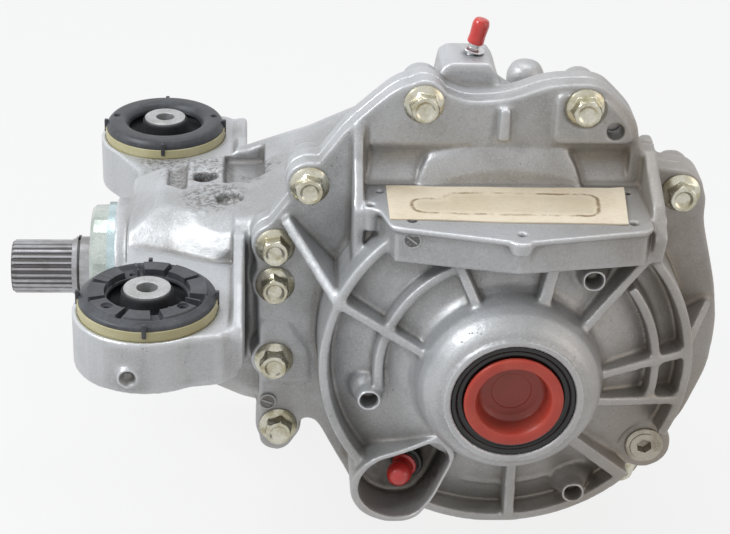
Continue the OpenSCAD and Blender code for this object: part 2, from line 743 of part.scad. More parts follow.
// Space inside the cover, with the pocket's shell standing into it
module cover_space() {
    difference() {
        along_minus_y()
            rotate_extrude()
                polygon([[0, joint_face - over], [100, joint_face - over], [100, rim_front - 24],
                    [94, rim_front - 18], [carrier_race_r + 18, drum_back + 6], [carrier_race_r + 9, drum_back + 6],
                    [carrier_race_r + 7, drum_back + 3], [carrier_race_r + press_fit, drum_back + 3],
                    [carrier_race_r + press_fit, near_race_end + shim_t],
                    [shoulder_r, near_race_end + shim_t], [shoulder_r, near_journal_end + 3],
                    [seal_r - 4, near_journal_end + 6], [seal_r - 4, near_face - seal_depth - over],
                    [seal_r + press_fit, near_face - seal_depth - over], [seal_r + press_fit, near_face - over],
                    [seal_r + 1.5, near_face + 0.5], [0, near_face + 0.5]]);
        upright(rim_front, port_floor - 8)
            difference() {
                polygon(rounded(pocket_points, 7));
                circle(r = drum_outer_r + 5);
            }
    }
    // Passage from the filler plug into the chamber
    translate([plug_place[0], 0, plug_place[1]])
        along_minus_y()
            translate([0, 0, joint_face - over])
                cylinder(r = plug_r - 1, h = plug_front - joint_face);
}

module side_cover() {
    color([0.66, 0.65, 0.62])
        drive()
            difference() {
                union() {
                    difference() {
                        cover_form();
                        // Nothing else stands over the pad
                        translate([-88, -near_face, pad_height])
                            cube([168, near_face - flange_front, 60]);
                        translate([-86, -flange_front - 9, pad_height + 15])
                            rotate([0, 90, 0])
                                cylinder(r = 14, h = 158);
                    }
                    cover_top();
                }
                cover_space();
                // Pocket, shallow over the clutch drum and deep beside it
                upright(near_face, rim_front - 2)
                    pocket_opening();
                upright(near_face, port_floor)
                    difference() {
                        pocket_opening();
                        circle(r = drum_outer_r + 12);
                    }
                for (place = bolt_places) {
                    bar(place, flange_front + 18, cover_bolt_r + clearance, cover_flange_t + 18 + over);
                    bar(place, flange_front + 18, cover_bolt_flange_r + clearance, 18);
                }
                for (place = dowel_places)
                    bar(place, joint_face + 6, 4 + press_fit, 6 + over);
                for (place = boss_places)
                    bar(place, rim_front + 12 + over, 5.4, 14 + over);
                for (place = pad_holes)
                    translate([place[0], place[1], pad_height - 14])
                        cylinder(r = pad_hole_r, h = 14 + over);
                flange_hole();
                translate([plug_place[0], -plug_front, plug_place[1]]) {
                    along_minus_y()
                        cylinder(r = plug_r + 8, h = 30);
                    along_y()
                        cylinder(r = plug_r + press_fit, h = 14);
                }
                on_port()
                    translate([0, 0, -20])
                        cylinder(r = 5 + press_fit, h = 40);
            }
}
module pocket_opening() {
    polygon(rounded([for (p = pocket_points) port_place + (p - port_place) * 0.86], 6));
}

// Flanged hexagon bolt along +z, its head's seat at z = 0
module flanged_bolt(thread_r, flange_r, length) {
    translate([0, 0, -length])
        cylinder(r = thread_r, h = length);
    rotate_extrude()
        polygon([[0, 0], [flange_r, 0], [flange_r, 1.4], [thread_r * 1.5, 4], [0, 4]]);
    intersection() {
        cylinder(r = thread_r * 1.54, h = thread_r * 2, $fn = 6);
        rotate_extrude()
            polygon([[0, 0], [flange_r, 0], [flange_r, 2], [thread_r * 1.28, thread_r * 2], [0, thread_r * 2]]);
    }
}
module cover_bolts() {
    color([0.62, 0.61, 0.52])
        drive()
            for (i = [0:len(bolt_places) - 1])
                translate([bolt_places[i][0], -flange_front, bolt_places[i][1]])
                    along_minus_y()
                        rotate([0, 0, i * 23])
                            flanged_bolt(cover_bolt_r, cover_bolt_flange_r, cover_flange_t + 20);
}

module cover_dowels() {
    color([0.6, 0.6, 0.62])
        drive()
            for (place = dowel_places)
                translate([place[0], -joint_face - 5.5, place[1]])
                    along_y()
                        ring(2.4, 4, 0, 13);
}

// Screw plug with a hexagon socket along +z, its collar's seat at z = 0
module socket_plug(r, length) {
    difference() {
        union() {
            translate([0, 0, -length])
                cylinder(r = r, h = length + 1);
            rotate_extrude()
                polygon([[0, 0], [r + 3, 0], [r + 3, 1.6], [r + 1.8, 2.6], [0, 2.6]]);
        }
        translate([0, 0, -5])
            cylinder(r = r * 0.5, h = 10, $fn = 6);
    }
}
module filler_plug() {
    color([0.6, 0.58, 0.53])
        drive()
            translate([plug_place[0], -plug_front, plug_place[1]])
                along_minus_y()
                    socket_plug(plug_r, 12);
}
module drain_plug() {
    color([0.6, 0.58, 0.53])
        drive()
            translate([30, 2, -118])
                along_minus_z()
                    socket_plug(plug_r, 12);
}

// Places a shape on the leaning axis of the vent tube, z = 0 at the tower's top
module on_vent() {
    translate([vent_place[0], vent_place[1], tower_place[1] - 14])
        rotate([0, vent_lean, 0])
            translate([0, 0, 14])
                children();
}
module vent_tube() {
    color([0.72, 0.72, 0.74])
        drive()
            on_vent() {
                ring(vent_tube_r - 1, vent_tube_r, -12, 14);
                ring(vent_tube_r - 0.5, vent_tube_r + 2.8, 2.2, 3.6);
            }
}
module vent_cap() {
    color([0.87, 0.24, 0.18])
        drive()
            on_vent()
                rotate_extrude()
                    polygon([[vent_tube_r + 0.05, 7], [vent_tube_r + 1.5, 7], [vent_tube_r + 1.6, 21],
                        [vent_tube_r + 0.9, 22.8], [0, 23.4], [0, 16], [vent_tube_r + 0.05, 16]]);
}

// Places a shape on the port's axis, z = 0 on the pocket's floor
module on_port() {
    translate([port_place[0], -port_floor, port_place[1]])
        rotate([90, 0, -port_tilt])
            children();
}
module port_fitting() {
    color([0.42, 0.41, 0.4])
        drive()
            on_port()
                difference() {
                    rotate_extrude()
                        polygon([[0, -8], [5, -8], [5, 4.5], [10.5, 4.5], [10.5, 8], [8.5, 8], [8.5, 10],
                            [4, 10], [4, 20], [0, 20]]);
                    translate([0, 0, 8])
                        cylinder(r = 2, h = 13);
                }
}
module port_cap() {
    color([0.8, 0.16, 0.15])
        drive()
            on_port()
                rotate_extrude()
                    polygon([[4.05, 10.5], [port_cap_r, 10.5], [port_cap_r, 25], [port_cap_r - 1, 27.6],
                        [port_cap_r - 3, 29], [0, 29.4], [0, 20.5], [4.05, 20.5]]);
}

// Output seal, its open face at z = 0 and its body below
module output_seal() {
    color([0.1, 0.1, 0.1])
        rotate_extrude()
            polygon([[seal_hole_r + 2, -seal_depth], [seal_r, -seal_depth], [seal_r, -0.8], [seal_r - 0.8, 0],
                [seal_r - 3, 0], [seal_r - 4, -1.2], [seal_hole_r + 3, -1.2], [seal_hole_r, -3.2],
                [seal_hole_r, -5], [seal_hole_r + 1.6, -6]]);
}
// Dished plastic cap pressed in the seal, its rim over the seal's lip
module output_cap() {
    color([0.78, 0.3, 0.23])
        rotate_extrude()
            polygon([[0, -14], [seal_hole_r - 1.2, -14], [seal_hole_r - press_fit, -8], [seal_hole_r - press_fit, -2],
                [ring_cap_r, -0.9], [ring_cap_r, 1.2], [ring_cap_r - 1.2, 2], [seal_hole_r - 4.6, 2],
                [seal_hole_r - 5.4, 1], [seal_hole_r - 6, -12], [0, -12]]);
}
module near_output_seal() {
    on_axle()
        translate([0, 0, near_face - 1])
            output_seal();
}
module far_output_seal() {
    drive()
        along_y()
            translate([0, 0, far_face - 1])
                output_seal();
}
module near_output_cap() {
    on_axle()
        translate([0, 0, near_face - 1])
            output_cap();
}
module far_output_cap() {
    drive()
        along_y()
            translate([0, 0, far_face - 1])
                output_cap();
}
module pad_card() {
    color([0.94, 0.88, 0.76])
        drive()
            flat(pad_height, pad_height + card_t)
                polygon([[-74, -86], [69, -88], [64, -136], [-74, -130.5]]);
}

// Bush parts, on the bush axis with z = 0 at the sleeve's top
module at_bush(side) {
    translate([0, side * bush_spacing / 2, 0])
        children();
}
shell_top = collar_height - eye_drop;
stop_top = shell_top + stop_height;
shell_inner_r = bush_bore_r - shell_wall;
stop_r = bush_bore_r + 1.9;
module bush_sleeve() {
    color([0.62, 0.62, 0.63])
        ring(bush_hole_r, bush_sleeve_r, -bush_sleeve_len, 0);
}
module bush_shell() {
    color([0.78, 0.74, 0.6])
        rotate_extrude()
            polygon([[shell_inner_r, -eye_drop - eye_depth + 3], [bush_bore_r, -eye_drop - eye_depth + 3],
                [bush_bore_r, -eye_drop], [bush_bore_r + 1.6, -eye_drop], [bush_bore_r + 1.6, shell_top],
                [shell_inner_r, shell_top]]);
}
module bush_rubber() {
    cup = shell_inner_r - 9;
    color([0.1, 0.1, 0.11])
        rotate_extrude()
            polygon([[bush_sleeve_r + press_fit, -bush_sleeve_len + 2], [bush_sleeve_r + 3, -bush_sleeve_len + 2],
                [bush_sleeve_r + 8, -eye_drop - eye_depth + 6], [shell_inner_r - press_fit, -eye_drop - eye_depth + 4],
                [shell_inner_r - press_fit, shell_top - clearance], [cup + 3, shell_top - clearance],
                [cup - 1, shell_top - 4], [bush_sleeve_r + 3.5, shell_top - 5], [bush_sleeve_r + 1.2, -1],
                [bush_sleeve_r + press_fit, -1]]);
}
module stop_clips(from) {
    for (turn = [0:90:270])
        rotate([0, 0, turn + from])
            translate([stop_r, -2.2, shell_top - collar_height * 0.7])
                cube([1.5, 4.4, collar_height * 0.7 + stop_height * 0.8]);
}
module near_bush_stop() {
    blocks = 9;
    color([0.22, 0.22, 0.23])
        at_bush(-1)
            difference() {
                union() {
                    rotate_extrude()
                        polygon([[25, shell_top], [stop_r, shell_top], [stop_r, stop_top - 3],
                            [bush_bore_r - 0.5, stop_top - 1.8], [33, stop_top - 2.4], [27, stop_top - 4]]);
                    for (i = [0:blocks - 1])
                        rotate([0, 0, i * 360 / blocks + 14])
                            rotate_extrude(angle = i % 2 == 0 ? 24 : 17)
                                polygon([[28, shell_top + 1], [bush_bore_r - 1.5, shell_top + 1],
                                    [bush_bore_r - 1.5, stop_top - 0.6], [bush_bore_r - 2.5, stop_top],
                                    [29.5, stop_top]]);
                    for (i = [0:3])
                        rotate([0, 0, i * 90 + 58])
                            translate([26, -0.7, shell_top + 1])
                                cube([11, 1.4, stop_height - 0.6]);
                    stop_clips(0);
                }
                for (turn = [90, 210, 330])
                    rotate([0, 0, turn])
                        translate([30.5, 0, shell_top - over])
                            cylinder(r = 2, h = stop_height + 2 * over);
            }
}
module far_bush_stop() {
    color([0.22, 0.22, 0.23])
        at_bush(1)
            difference() {
                union() {
                    rotate_extrude()
                        polygon([[27, shell_top], [stop_r, shell_top], [stop_r, stop_top - 2.5],
                            [bush_bore_r, stop_top - 0.6], [bush_bore_r - 3, stop_top], [29, stop_top - 0.6]]);
                    stop_clips(0);
                }
                for (turn = [-20, 200])
                    rotate([0, 0, turn])
                        translate([34, 0, shell_top - over])
                            cylinder(r = 2.2, h = stop_height + 2 * over);
            }
}
module near_bush_sleeve() {
    at_bush(-1)
        bush_sleeve();
}
module far_bush_sleeve() {
    at_bush(1)
        bush_sleeve();
}
module near_bush_rubber() {
    at_bush(-1)
        bush_rubber();
}
module far_bush_rubber() {
    at_bush(1)
        bush_rubber();
}
module near_bush_shell() {
    at_bush(-1)
        bush_shell();
}
module far_bush_shell() {
    at_bush(1)
        bush_shell();
}

// Lock ring screwed into the casing's nose, with its washer and the input seal
module lock_ring() {
    chamfer = 2.4;
    color([0.66, 0.68, 0.64])
        on_input(0)
            difference() {
                union() {
                    intersection() {
                        flat(lock_ring_back, lock_ring_front)
                            polygon([for (i = [0:lock_ring_facets - 1])
                                lock_ring_r * [cos(i * 360 / lock_ring_facets), sin(i * 360 / lock_ring_facets)]]);
                        rotate_extrude()
                            polygon([[0, lock_ring_back], [lock_ring_r, lock_ring_back],
                                [lock_ring_r, lock_ring_front - chamfer], [lock_ring_r - chamfer, lock_ring_front],
                                [0, lock_ring_front]]);
                    }
                    translate([0, 0, skirt_back])
                        cylinder(r = skirt_r, h = lock_ring_back - skirt_back);
                }
                translate([0, 0, skirt_back - over])
                    cylinder(r = lock_bore_r + press_fit, h = lock_ring_front - skirt_back - 2 + over);
                translate([0, 0, skirt_back])
                    cylinder(r = collar_r + 3, h = lock_ring_front - skirt_back + over);
            }
}
module lock_ring_washer() {
    color([0.62, 0.72, 0.74])
        on_input(0)
            ring(skirt_r + press_fit, lock_ring_r + 1.8, nose_reach, lock_ring_back);
}
module pinion_seal() {
    color([0.12, 0.12, 0.12])
        on_input(0)
            rotate_extrude()
                polygon([[seal_seat_r + running_fit, nose_reach - 8], [lock_bore_r, nose_reach - 8],
                    [lock_bore_r, nose_reach + 2], [seal_seat_r + 4, nose_reach + 2],
                    [seal_seat_r + 4, nose_reach - 4], [seal_seat_r + running_fit, nose_reach - 5]]);
}

// Pinion, its shaft and what turns with it
module pinion_shaft() {
    groove = collar_front - 5;
    bare_r = spline_r - spline_depth;
    color([0.5, 0.5, 0.5])
        on_input(0) {
            rotate([0, 0, -90 + 180 / pinion_teeth])
                bevel_teeth(pinion_teeth, pinion_cone, long_addendum, short_addendum + root_gap,
                    inner_distance, cone_distance, -spiral_turn * ring_teeth / pinion_teeth, 5, gear_play);
            rotate_extrude()
                polygon([[0, pinion_back - 4], [neck_r, pinion_back - 4], [neck_r, pinion_back + 1.2],
                    [head_seat_r + 5, pinion_back + 4],
                    [head_seat_r + 5, head_race_back - head_race_w], [head_seat_r, head_race_back - head_race_w],
                    [head_seat_r, head_race_back - 1], [tail_seat_r + 0.5, head_race_back - 1],
                    [tail_seat_r + 0.5, tail_race_front - tail_race_w - 1],
                    [tail_seat_r, tail_race_front - tail_race_w],
                    [tail_seat_r, tail_race_front], [seal_seat_r + 0.4, tail_race_front],
                    [seal_seat_r + 0.4, tail_race_front + nut_w], [seal_seat_r, tail_race_front + nut_w],
                    [seal_seat_r, lock_ring_front - 3], [collar_r, lock_ring_front - 2],
                    [collar_r, groove], [collar_r - 1.6, groove], [collar_r - 1.6, groove + 1.6],
                    [collar_r, groove + 1.6], [collar_r, groove + 3], [spline_r + 0.8, groove + 3],
                    [spline_r + 0.8, collar_front], [bare_r, collar_front],
                    [bare_r, spline_front - 1], [bare_r - 1, spline_front], [0, spline_front]]);
            intersection() {
                splined(spline_r, bare_r - 0.1, spline_teeth, collar_front - 1, spline_front);
                rotate_extrude()
                    polygon([[0, collar_front - 1], [spline_r, collar_front - 1], [spline_r, spline_front - 1.8],
                        [bare_r, spline_front], [0, spline_front]]);
            }
        }
}
// Places of the four taper bearings, each along its own axis
module at_head() {
    on_input(head_race_x)
        along_minus_z()
            children();
}
module at_tail() {
    on_input(tail_race_x)
        children();
}
module at_near() {
    drive()
        translate([0, -near_race_y, 0])
            along_y()
                children();
}
module at_far() {
    drive()
        translate([0, far_race_y, 0])
            along_minus_y()
                children();
}
module head_inner_race() {
    color(steel)
        at_head()
            inner_race(head_size);
}
module head_outer_race() {
    color(steel)
        at_head()
            outer_race(head_size);
}
module head_rollers() {
    color(steel)
        at_head()
            roller_set(head_size);
}
module tail_inner_race() {
    color(steel)
        at_tail()
            inner_race(tail_size);
}
module tail_outer_race() {
    color(steel)
        at_tail()
            outer_race(tail_size);
}
module tail_rollers() {
    color(steel)
        at_tail()
            roller_set(tail_size);
}
module bearing_spacer() {
    length = tail_race_front - tail_race_w - head_race_back;
    color([0.45, 0.46, 0.48])
        on_input(head_race_back)
            rotate_extrude()
                polygon([[tail_seat_r + 1, 0], [tail_seat_r + 3, 0], [tail_seat_r + 3, length * 0.35],
                    [tail_seat_r + 6, length * 0.5], [tail_seat_r + 3, length * 0.65], [tail_seat_r + 3, length],
                    [tail_seat_r + 1, length], [tail_seat_r + 1, length * 0.65], [tail_seat_r + 4, length * 0.5],
                    [tail_seat_r + 1, length * 0.35]]);
}
module pinion_nut() {
    color([0.45, 0.46, 0.48])
        on_input(tail_race_front)
            difference() {
                cylinder(r = tail_seat_r + 9, h = nut_w, $fn = 8);
                translate([0, 0, -over])
                    cylinder(r = seal_seat_r + 0.4 + press_fit, h = nut_w + 2 * over);
            }
}
module retaining_ring() {
    color([0.35, 0.34, 0.33])
        on_input(collar_front - 5)
            difference() {
                ring(collar_r - 1.6 + press_fit, collar_r + 0.9, 0.2, 1.4);
                translate([0, -2, 0])
                    cube([collar_r + 5, 4, 3]);
            }
}

// Ring gear, differential case and what turns with them
module ring_gear() {
    root = ring_cone - long_addendum - root_gap;
    heel = cone_distance * [sin(root), cos(root)];
    toe = inner_distance * [sin(root), cos(root)];
    color([0.55, 0.55, 0.55])
        on_axle()
            difference() {
                union() {
                    rotate([0, 0, 180])
                        bevel_teeth(ring_teeth, ring_cone, short_addendum, long_addendum + root_gap,
                            inner_distance, cone_distance, spiral_turn, 3, gear_play);
                    rotate_extrude()
                        polygon([[20, toe[1] + 0.6], [toe[0], toe[1] + 0.6], [heel[0] - 0.5, heel[1] + 0.5],
                            [heel[0] + 4, heel[1] + 5], [heel[0] + 4, ring_back], [20, ring_back]]);
                }
                translate([0, 0, -over])
                    cylinder(r = ring_bore_r, h = ring_back + 2 * over);
                ring_bolt_circle_places()
                    translate([0, 0, ring_back - 13])
                        cylinder(r = 5 + press_fit, h = 13 + over);
            }
}
module ring_bolt_circle_places() {
    for (i = [0:ring_bolts - 1])
        rotate([0, 0, i * 360 / ring_bolts])
            translate([ring_bolt_circle, 0, 0])
                children();
}
module ring_gear_bolts() {
    color([0.3, 0.3, 0.3])
        on_axle()
            ring_bolt_circle_places()
                translate([0, 0, drum_lip]) {
                    translate([0, 0, -(drum_lip - ring_back) - 12])
                        cylinder(r = 5, h = drum_lip - ring_back + 12);
                    cylinder(r = 8.2, h = 6, $fn = 6);
                }
}
module differential_case() {
    color([0.42, 0.42, 0.43])
        drive()
            difference() {
                along_minus_y()
                    rotate_extrude()
                        polygon([[0, -far_journal_end], [journal_r, -far_journal_end], [journal_r, -far_hub],
                            [journal_r + 5, -far_hub], [journal_r + 8, -case_wall - 12], [barrel_r - 8, -case_wall - 6],
                            [barrel_r, -case_wall + 4], [barrel_r, case_wall], [ring_bore_r - running_fit, ring_back - 12],
                            [ring_bore_r - running_fit, ring_back], [lip_r, ring_back],
                            [lip_r, case_lip], [0, case_lip]]);
                intersection() {
                    sphere(r = ball_r);
                    upright(case_wall, -case_wall)
                        circle(r = ball_r + over);
                }
                along_minus_y() {
                    translate([0, 0, -far_journal_end - over])
                        cylinder(r = side_hub_r + running_fit, h = far_journal_end + case_lip);
                    translate([0, 0, case_wall + 13])
                        cylinder(r = drum_r, h = 40);
                    ring_bolt_circle_places()
                        translate([0, 0, ring_back - over])
                            cylinder(r = 5 + clearance, h = 20);
                }
                translate([0, 0, -barrel_r - over])
                    cylinder(r = cross_pin_r + press_fit, h = 2 * barrel_r + 2 * over);
                // Windows through which the gears go in
                for (side = [0, 180])
                    rotate([0, 0, side])
                        translate([20, 0, 0])
                            rotate([0, 90, 0])
                                cylinder(r = 24, h = 40);
            }
}
module clutch_drum() {
    color([0.46, 0.46, 0.47])
        on_axle()
            difference() {
                rotate_extrude()
                    polygon([[journal_r - 5, drum_end], [drum_r, drum_end], [drum_r, case_lip],
                        [lip_r, case_lip], [lip_r, drum_lip],
                        [drum_outer_r + 3, drum_lip], [drum_outer_r, drum_lip + 3], [drum_outer_r, drum_back],
                        [journal_r + 5, drum_back], [journal_r + 5, drum_back + 2], [journal_r, drum_back + 2],
                        [journal_r, near_journal_end], [journal_r - 5, near_journal_end]]);
                for (i = [0:plate_lugs - 1])
                    rotate([0, 0, i * 360 / plate_lugs])
                        translate([drum_r - 3, -6, case_lip - over])
                            cube([6 + clearance, 12, drum_end - case_lip + over]);
                ring_bolt_circle_places()
                    translate([0, 0, case_lip - over])
                        cylinder(r = 5 + clearance, h = 20);
            }
}
module cross_pin() {
    color(steel)
        drive()
            translate([0, 0, -barrel_r])
                cylinder(r = cross_pin_r, h = 2 * barrel_r);
}
module near_inner_race() {
    color(steel)
        at_near()
            inner_race(carrier_size);
}
module near_outer_race() {
    color(steel)
        at_near()
            outer_race(carrier_size);
}
module near_rollers() {
    color(steel)
        at_near()
            roller_set(carrier_size);
}
module far_inner_race() {
    color(steel)
        at_far()
            inner_race(carrier_size);
}
module far_outer_race() {
    color(steel)
        at_far()
            outer_race(carrier_size);
}
module far_rollers() {
    color(steel)
        at_far()
            roller_set(carrier_size);
}
module bearing_shims() {
    color([0.6, 0.6, 0.55])
        drive() {
            along_minus_y()
                ring(shoulder_r, carrier_race_r, near_race_end, near_race_end + shim_t);
            along_y()
                ring(shoulder_r, carrier_race_r, far_race_end, far_race_end + shim_t);
        }
}

// Clutch pack between the case and the near side gear
module pack_slot(i) {
    translate([0, 0, pack_start + i * pack_pitch])
        children();
}
module steel_plates() {
    color([0.5, 0.5, 0.52])
        on_axle()
            for (i = [0:plate_count - 1])
                pack_slot(2 * i)
                    difference() {
                        union() {
                            cylinder(r = drum_r - clearance, h = disc_t);
                            for (k = [0:plate_lugs - 1])
                                rotate([0, 0, k * 360 / plate_lugs])
                                    translate([0, -6 + clearance, 0])
                                        cube([lug_r, 12 - 2 * clearance, disc_t]);
                        }
                        translate([0, 0, -over])
                            cylinder(r = side_hub_r + 4, h = disc_t + 2 * over);
                    }
}
module friction_discs() {
    color([0.35, 0.3, 0.26])
        on_axle()
            for (i = [0:disc_count - 1])
                pack_slot(2 * i + 1)
                    ring(side_hub_r + press_fit, drum_r - 3, 0, disc_t);
}
module disc_spring() {
    color([0.4, 0.42, 0.46])
        on_axle()
            rotate_extrude()
                polygon([[side_hub_r + 6, spring_start + 1.9], [side_hub_r + 7, spring_start + 0.1],
                    [drum_r - 1, spring_start + 2.2], [drum_r - 2, spring_start + 4]]);
}

// Side gears, planet gears and their washers
module side_gear(hub_end) {
    root = side_cone - 1.25 * cluster_angle;
    heel = cluster_distance * [sin(root), cos(root)];
    back_r = cluster_distance * sin(side_cone) - 1.5;
    difference() {
        union() {
            rotate([0, 0, 90])
                bevel_teeth(side_teeth, side_cone, 0.8 * cluster_angle, 1.25 * cluster_angle,
                    cluster_distance - cluster_face, cluster_distance, 0, 1, cluster_play);
            rotate_extrude()
                polygon([[0, heel[1] - 3], [heel[0] - 4, heel[1] - 2], [heel[0] - 0.5, heel[1] + 0.3],
                    [back_r, side_back - 3], [back_r, side_back], [side_hub_r, side_back],
                    [side_hub_r, hub_end], [0, hub_end]]);
        }
        cylinder(r = 13.6, h = hub_end + over);
        splined(15, 13, 24, 16, hub_end + over);
    }
}
module near_side_gear() {
    color(steel)
        on_axle()
            side_gear(spring_start);
}
module far_side_gear() {
    color(steel)
        drive()
            along_y()
                side_gear(far_hub);
}
module planet_gear() {
    root = planet_cone - 0.85 * cluster_angle;
    heel = cluster_distance * [sin(root), cos(root)];
    difference() {
        union() {
            rotate([0, 0, 90 + 180 / planet_teeth])
                bevel_teeth(planet_teeth, planet_cone, 1.2 * cluster_angle, 0.85 * cluster_angle,
                    cluster_distance - cluster_face, cluster_distance, 0, 1, cluster_play);
            intersection() {
                sphere(r = planet_back);
                rotate_extrude()
                    polygon([[0, heel[1] - 3], [heel[0] - 2.5, heel[1] - 3], [heel[0], heel[1] + 0.3],
                        [heel[0] + 1, heel[1] + 1], [heel[0] + 1, planet_back + over], [0, planet_back + over]]);
            }
        }
        cylinder(r = cross_pin_r + running_fit, h = 60);
    }
}
module upper_planet_gear() {
    color(steel)
        drive()
            planet_gear();
}
module lower_planet_gear() {
    color(steel)
        drive()
            along_minus_z()
                planet_gear();
}
module side_washers() {
    color([0.7, 0.6, 0.4])
        drive()
            for (side = [0, 180])
                rotate([0, 0, side])
                    along_y()
                        ring(side_hub_r + running_fit, cluster_distance * sin(side_cone) - 2, side_back + running_fit,
                            side_back + running_fit + washer_t);
}
module planet_washers() {
    color([0.7, 0.6, 0.4])
        drive()
            for (side = [0, 180])
                rotate([side, 0, 0])
                    difference() {
                        intersection() {
                            sphere(r = planet_back + running_fit + washer_t);
                            translate([0, 0, 20])
                                cylinder(r = 16, h = 40);
                        }
                        sphere(r = planet_back + running_fit);
                        cylinder(r = cross_pin_r + running_fit, h = 60);
                    }
}

main_casing();
side_cover();
cover_bolts();
cover_dowels();
filler_plug();
drain_plug();
vent_tube();
vent_cap();
port_fitting();
port_cap();
near_output_seal();
far_output_seal();
near_output_cap();
far_output_cap();
pad_card();
near_bush_sleeve();
near_bush_rubber();
near_bush_shell();
near_bush_stop();
far_bush_sleeve();
far_bush_rubber();
far_bush_shell();
far_bush_stop();
lock_ring();
lock_ring_washer();
pinion_seal();
head_outer_race();
tail_outer_race();
near_outer_race();
far_outer_race();
bearing_shims();
pinion_shaft();
head_inner_race();
tail_inner_race();
bearing_spacer();
pinion_nut();
retaining_ring();
head_rollers();
tail_rollers();
near_rollers();
far_rollers();
ring_gear();
ring_gear_bolts();
differential_case();
clutch_drum();
cross_pin();
near_inner_race();
far_inner_race();
steel_plates();
disc_spring();
side_washers();
planet_washers();
near_side_gear();
friction_discs();
far_side_gear();
upper_planet_gear();
lower_planet_gear();
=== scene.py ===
import json
import math

import bmesh
import bpy
import numpy as np
from mathutils import Matrix, Vector


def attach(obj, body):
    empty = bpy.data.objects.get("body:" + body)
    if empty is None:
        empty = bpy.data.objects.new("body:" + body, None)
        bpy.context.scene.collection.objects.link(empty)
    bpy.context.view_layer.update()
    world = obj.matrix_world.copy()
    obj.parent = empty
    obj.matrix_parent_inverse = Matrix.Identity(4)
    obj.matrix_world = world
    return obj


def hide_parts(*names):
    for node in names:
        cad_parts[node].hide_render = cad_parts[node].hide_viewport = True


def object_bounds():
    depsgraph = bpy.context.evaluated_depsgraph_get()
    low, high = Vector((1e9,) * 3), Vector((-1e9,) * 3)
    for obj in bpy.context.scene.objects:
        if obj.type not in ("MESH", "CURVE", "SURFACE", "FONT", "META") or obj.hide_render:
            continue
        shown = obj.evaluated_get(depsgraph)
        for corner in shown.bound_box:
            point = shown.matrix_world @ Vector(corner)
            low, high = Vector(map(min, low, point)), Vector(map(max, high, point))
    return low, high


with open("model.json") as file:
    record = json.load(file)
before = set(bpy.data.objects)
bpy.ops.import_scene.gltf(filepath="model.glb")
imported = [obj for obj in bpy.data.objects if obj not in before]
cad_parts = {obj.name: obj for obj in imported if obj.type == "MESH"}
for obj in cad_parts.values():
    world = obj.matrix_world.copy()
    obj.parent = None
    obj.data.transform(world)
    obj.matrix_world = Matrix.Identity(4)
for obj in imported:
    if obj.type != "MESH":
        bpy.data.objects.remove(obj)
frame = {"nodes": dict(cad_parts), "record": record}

cadBox = [list(corner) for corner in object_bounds()]  # the CAD model's box, before anything is added
scene = bpy.context.scene
scene.view_settings.view_transform = "Standard"

mm = 0.001
axleCross = np.array([0.215, 0.0, -0.0525])  # where input axis and axle line cross, in the part's frame

# Camera, placed so that the bushes, the output and the flange fall where the photograph has them
photoCamera = {
    "azimuth": -3.508,      # degrees round from the view along +Y
    "elevation": 27.821,    # degrees above the horizon
    "roll": 1.891,          # degrees that the camera leans
    "distance": 1.318,      # metres from the camera to the axle crossing
    "focal": 1995.0,        # focal length in pixels of the 730 x 534 frame
    "aimX": 485.331,        # pixel column of the axle crossing
    "aimY": 267.928,        # pixel row of the axle crossing
    "frameWidth": 730.0,
    "frameHeight": 534.0,
    "sensor": 36.0,
    "clip": (0.05, 50.0),
}


def linked(name, data):  # a new object in the scene
    made = bpy.data.objects.new(name, data)
    scene.collection.objects.link(made)
    return made


def makeCamera(c):
    az, el, roll = (math.radians(c[k]) for k in ("azimuth", "elevation", "roll"))
    back = Vector((math.sin(az) * math.cos(el), -math.cos(az) * math.cos(el), math.sin(el)))
    flatRight = Vector((math.cos(az), math.sin(az), 0.0))
    flatUp = back.cross(flatRight)
    right = flatRight * math.cos(roll) + flatUp * math.sin(roll)
    up = flatUp * math.cos(roll) - flatRight * math.sin(roll)
    shiftX = (c["aimX"] - c["frameWidth"] / 2) / c["focal"] * c["distance"]
    shiftY = (c["aimY"] - c["frameHeight"] / 2) / c["focal"] * c["distance"]
    place = Vector(axleCross) + back * c["distance"] - right * shiftX + up * shiftY
    data = bpy.data.cameras.new("photoCamera")
    data.sensor_width = c["sensor"]
    data.lens = c["focal"] / c["frameWidth"] * c["sensor"]
    data.clip_start, data.clip_end = c["clip"]
    camera = linked("photoCamera", data)
    camera.matrix_world = Matrix((
        (right.x, up.x, back.x, place.x), (right.y, up.y, back.y, place.y),
        (right.z, up.z, back.z, place.z), (0, 0, 0, 1)))
    scene.camera = camera


makeCamera(photoCamera)
print("camera placed")


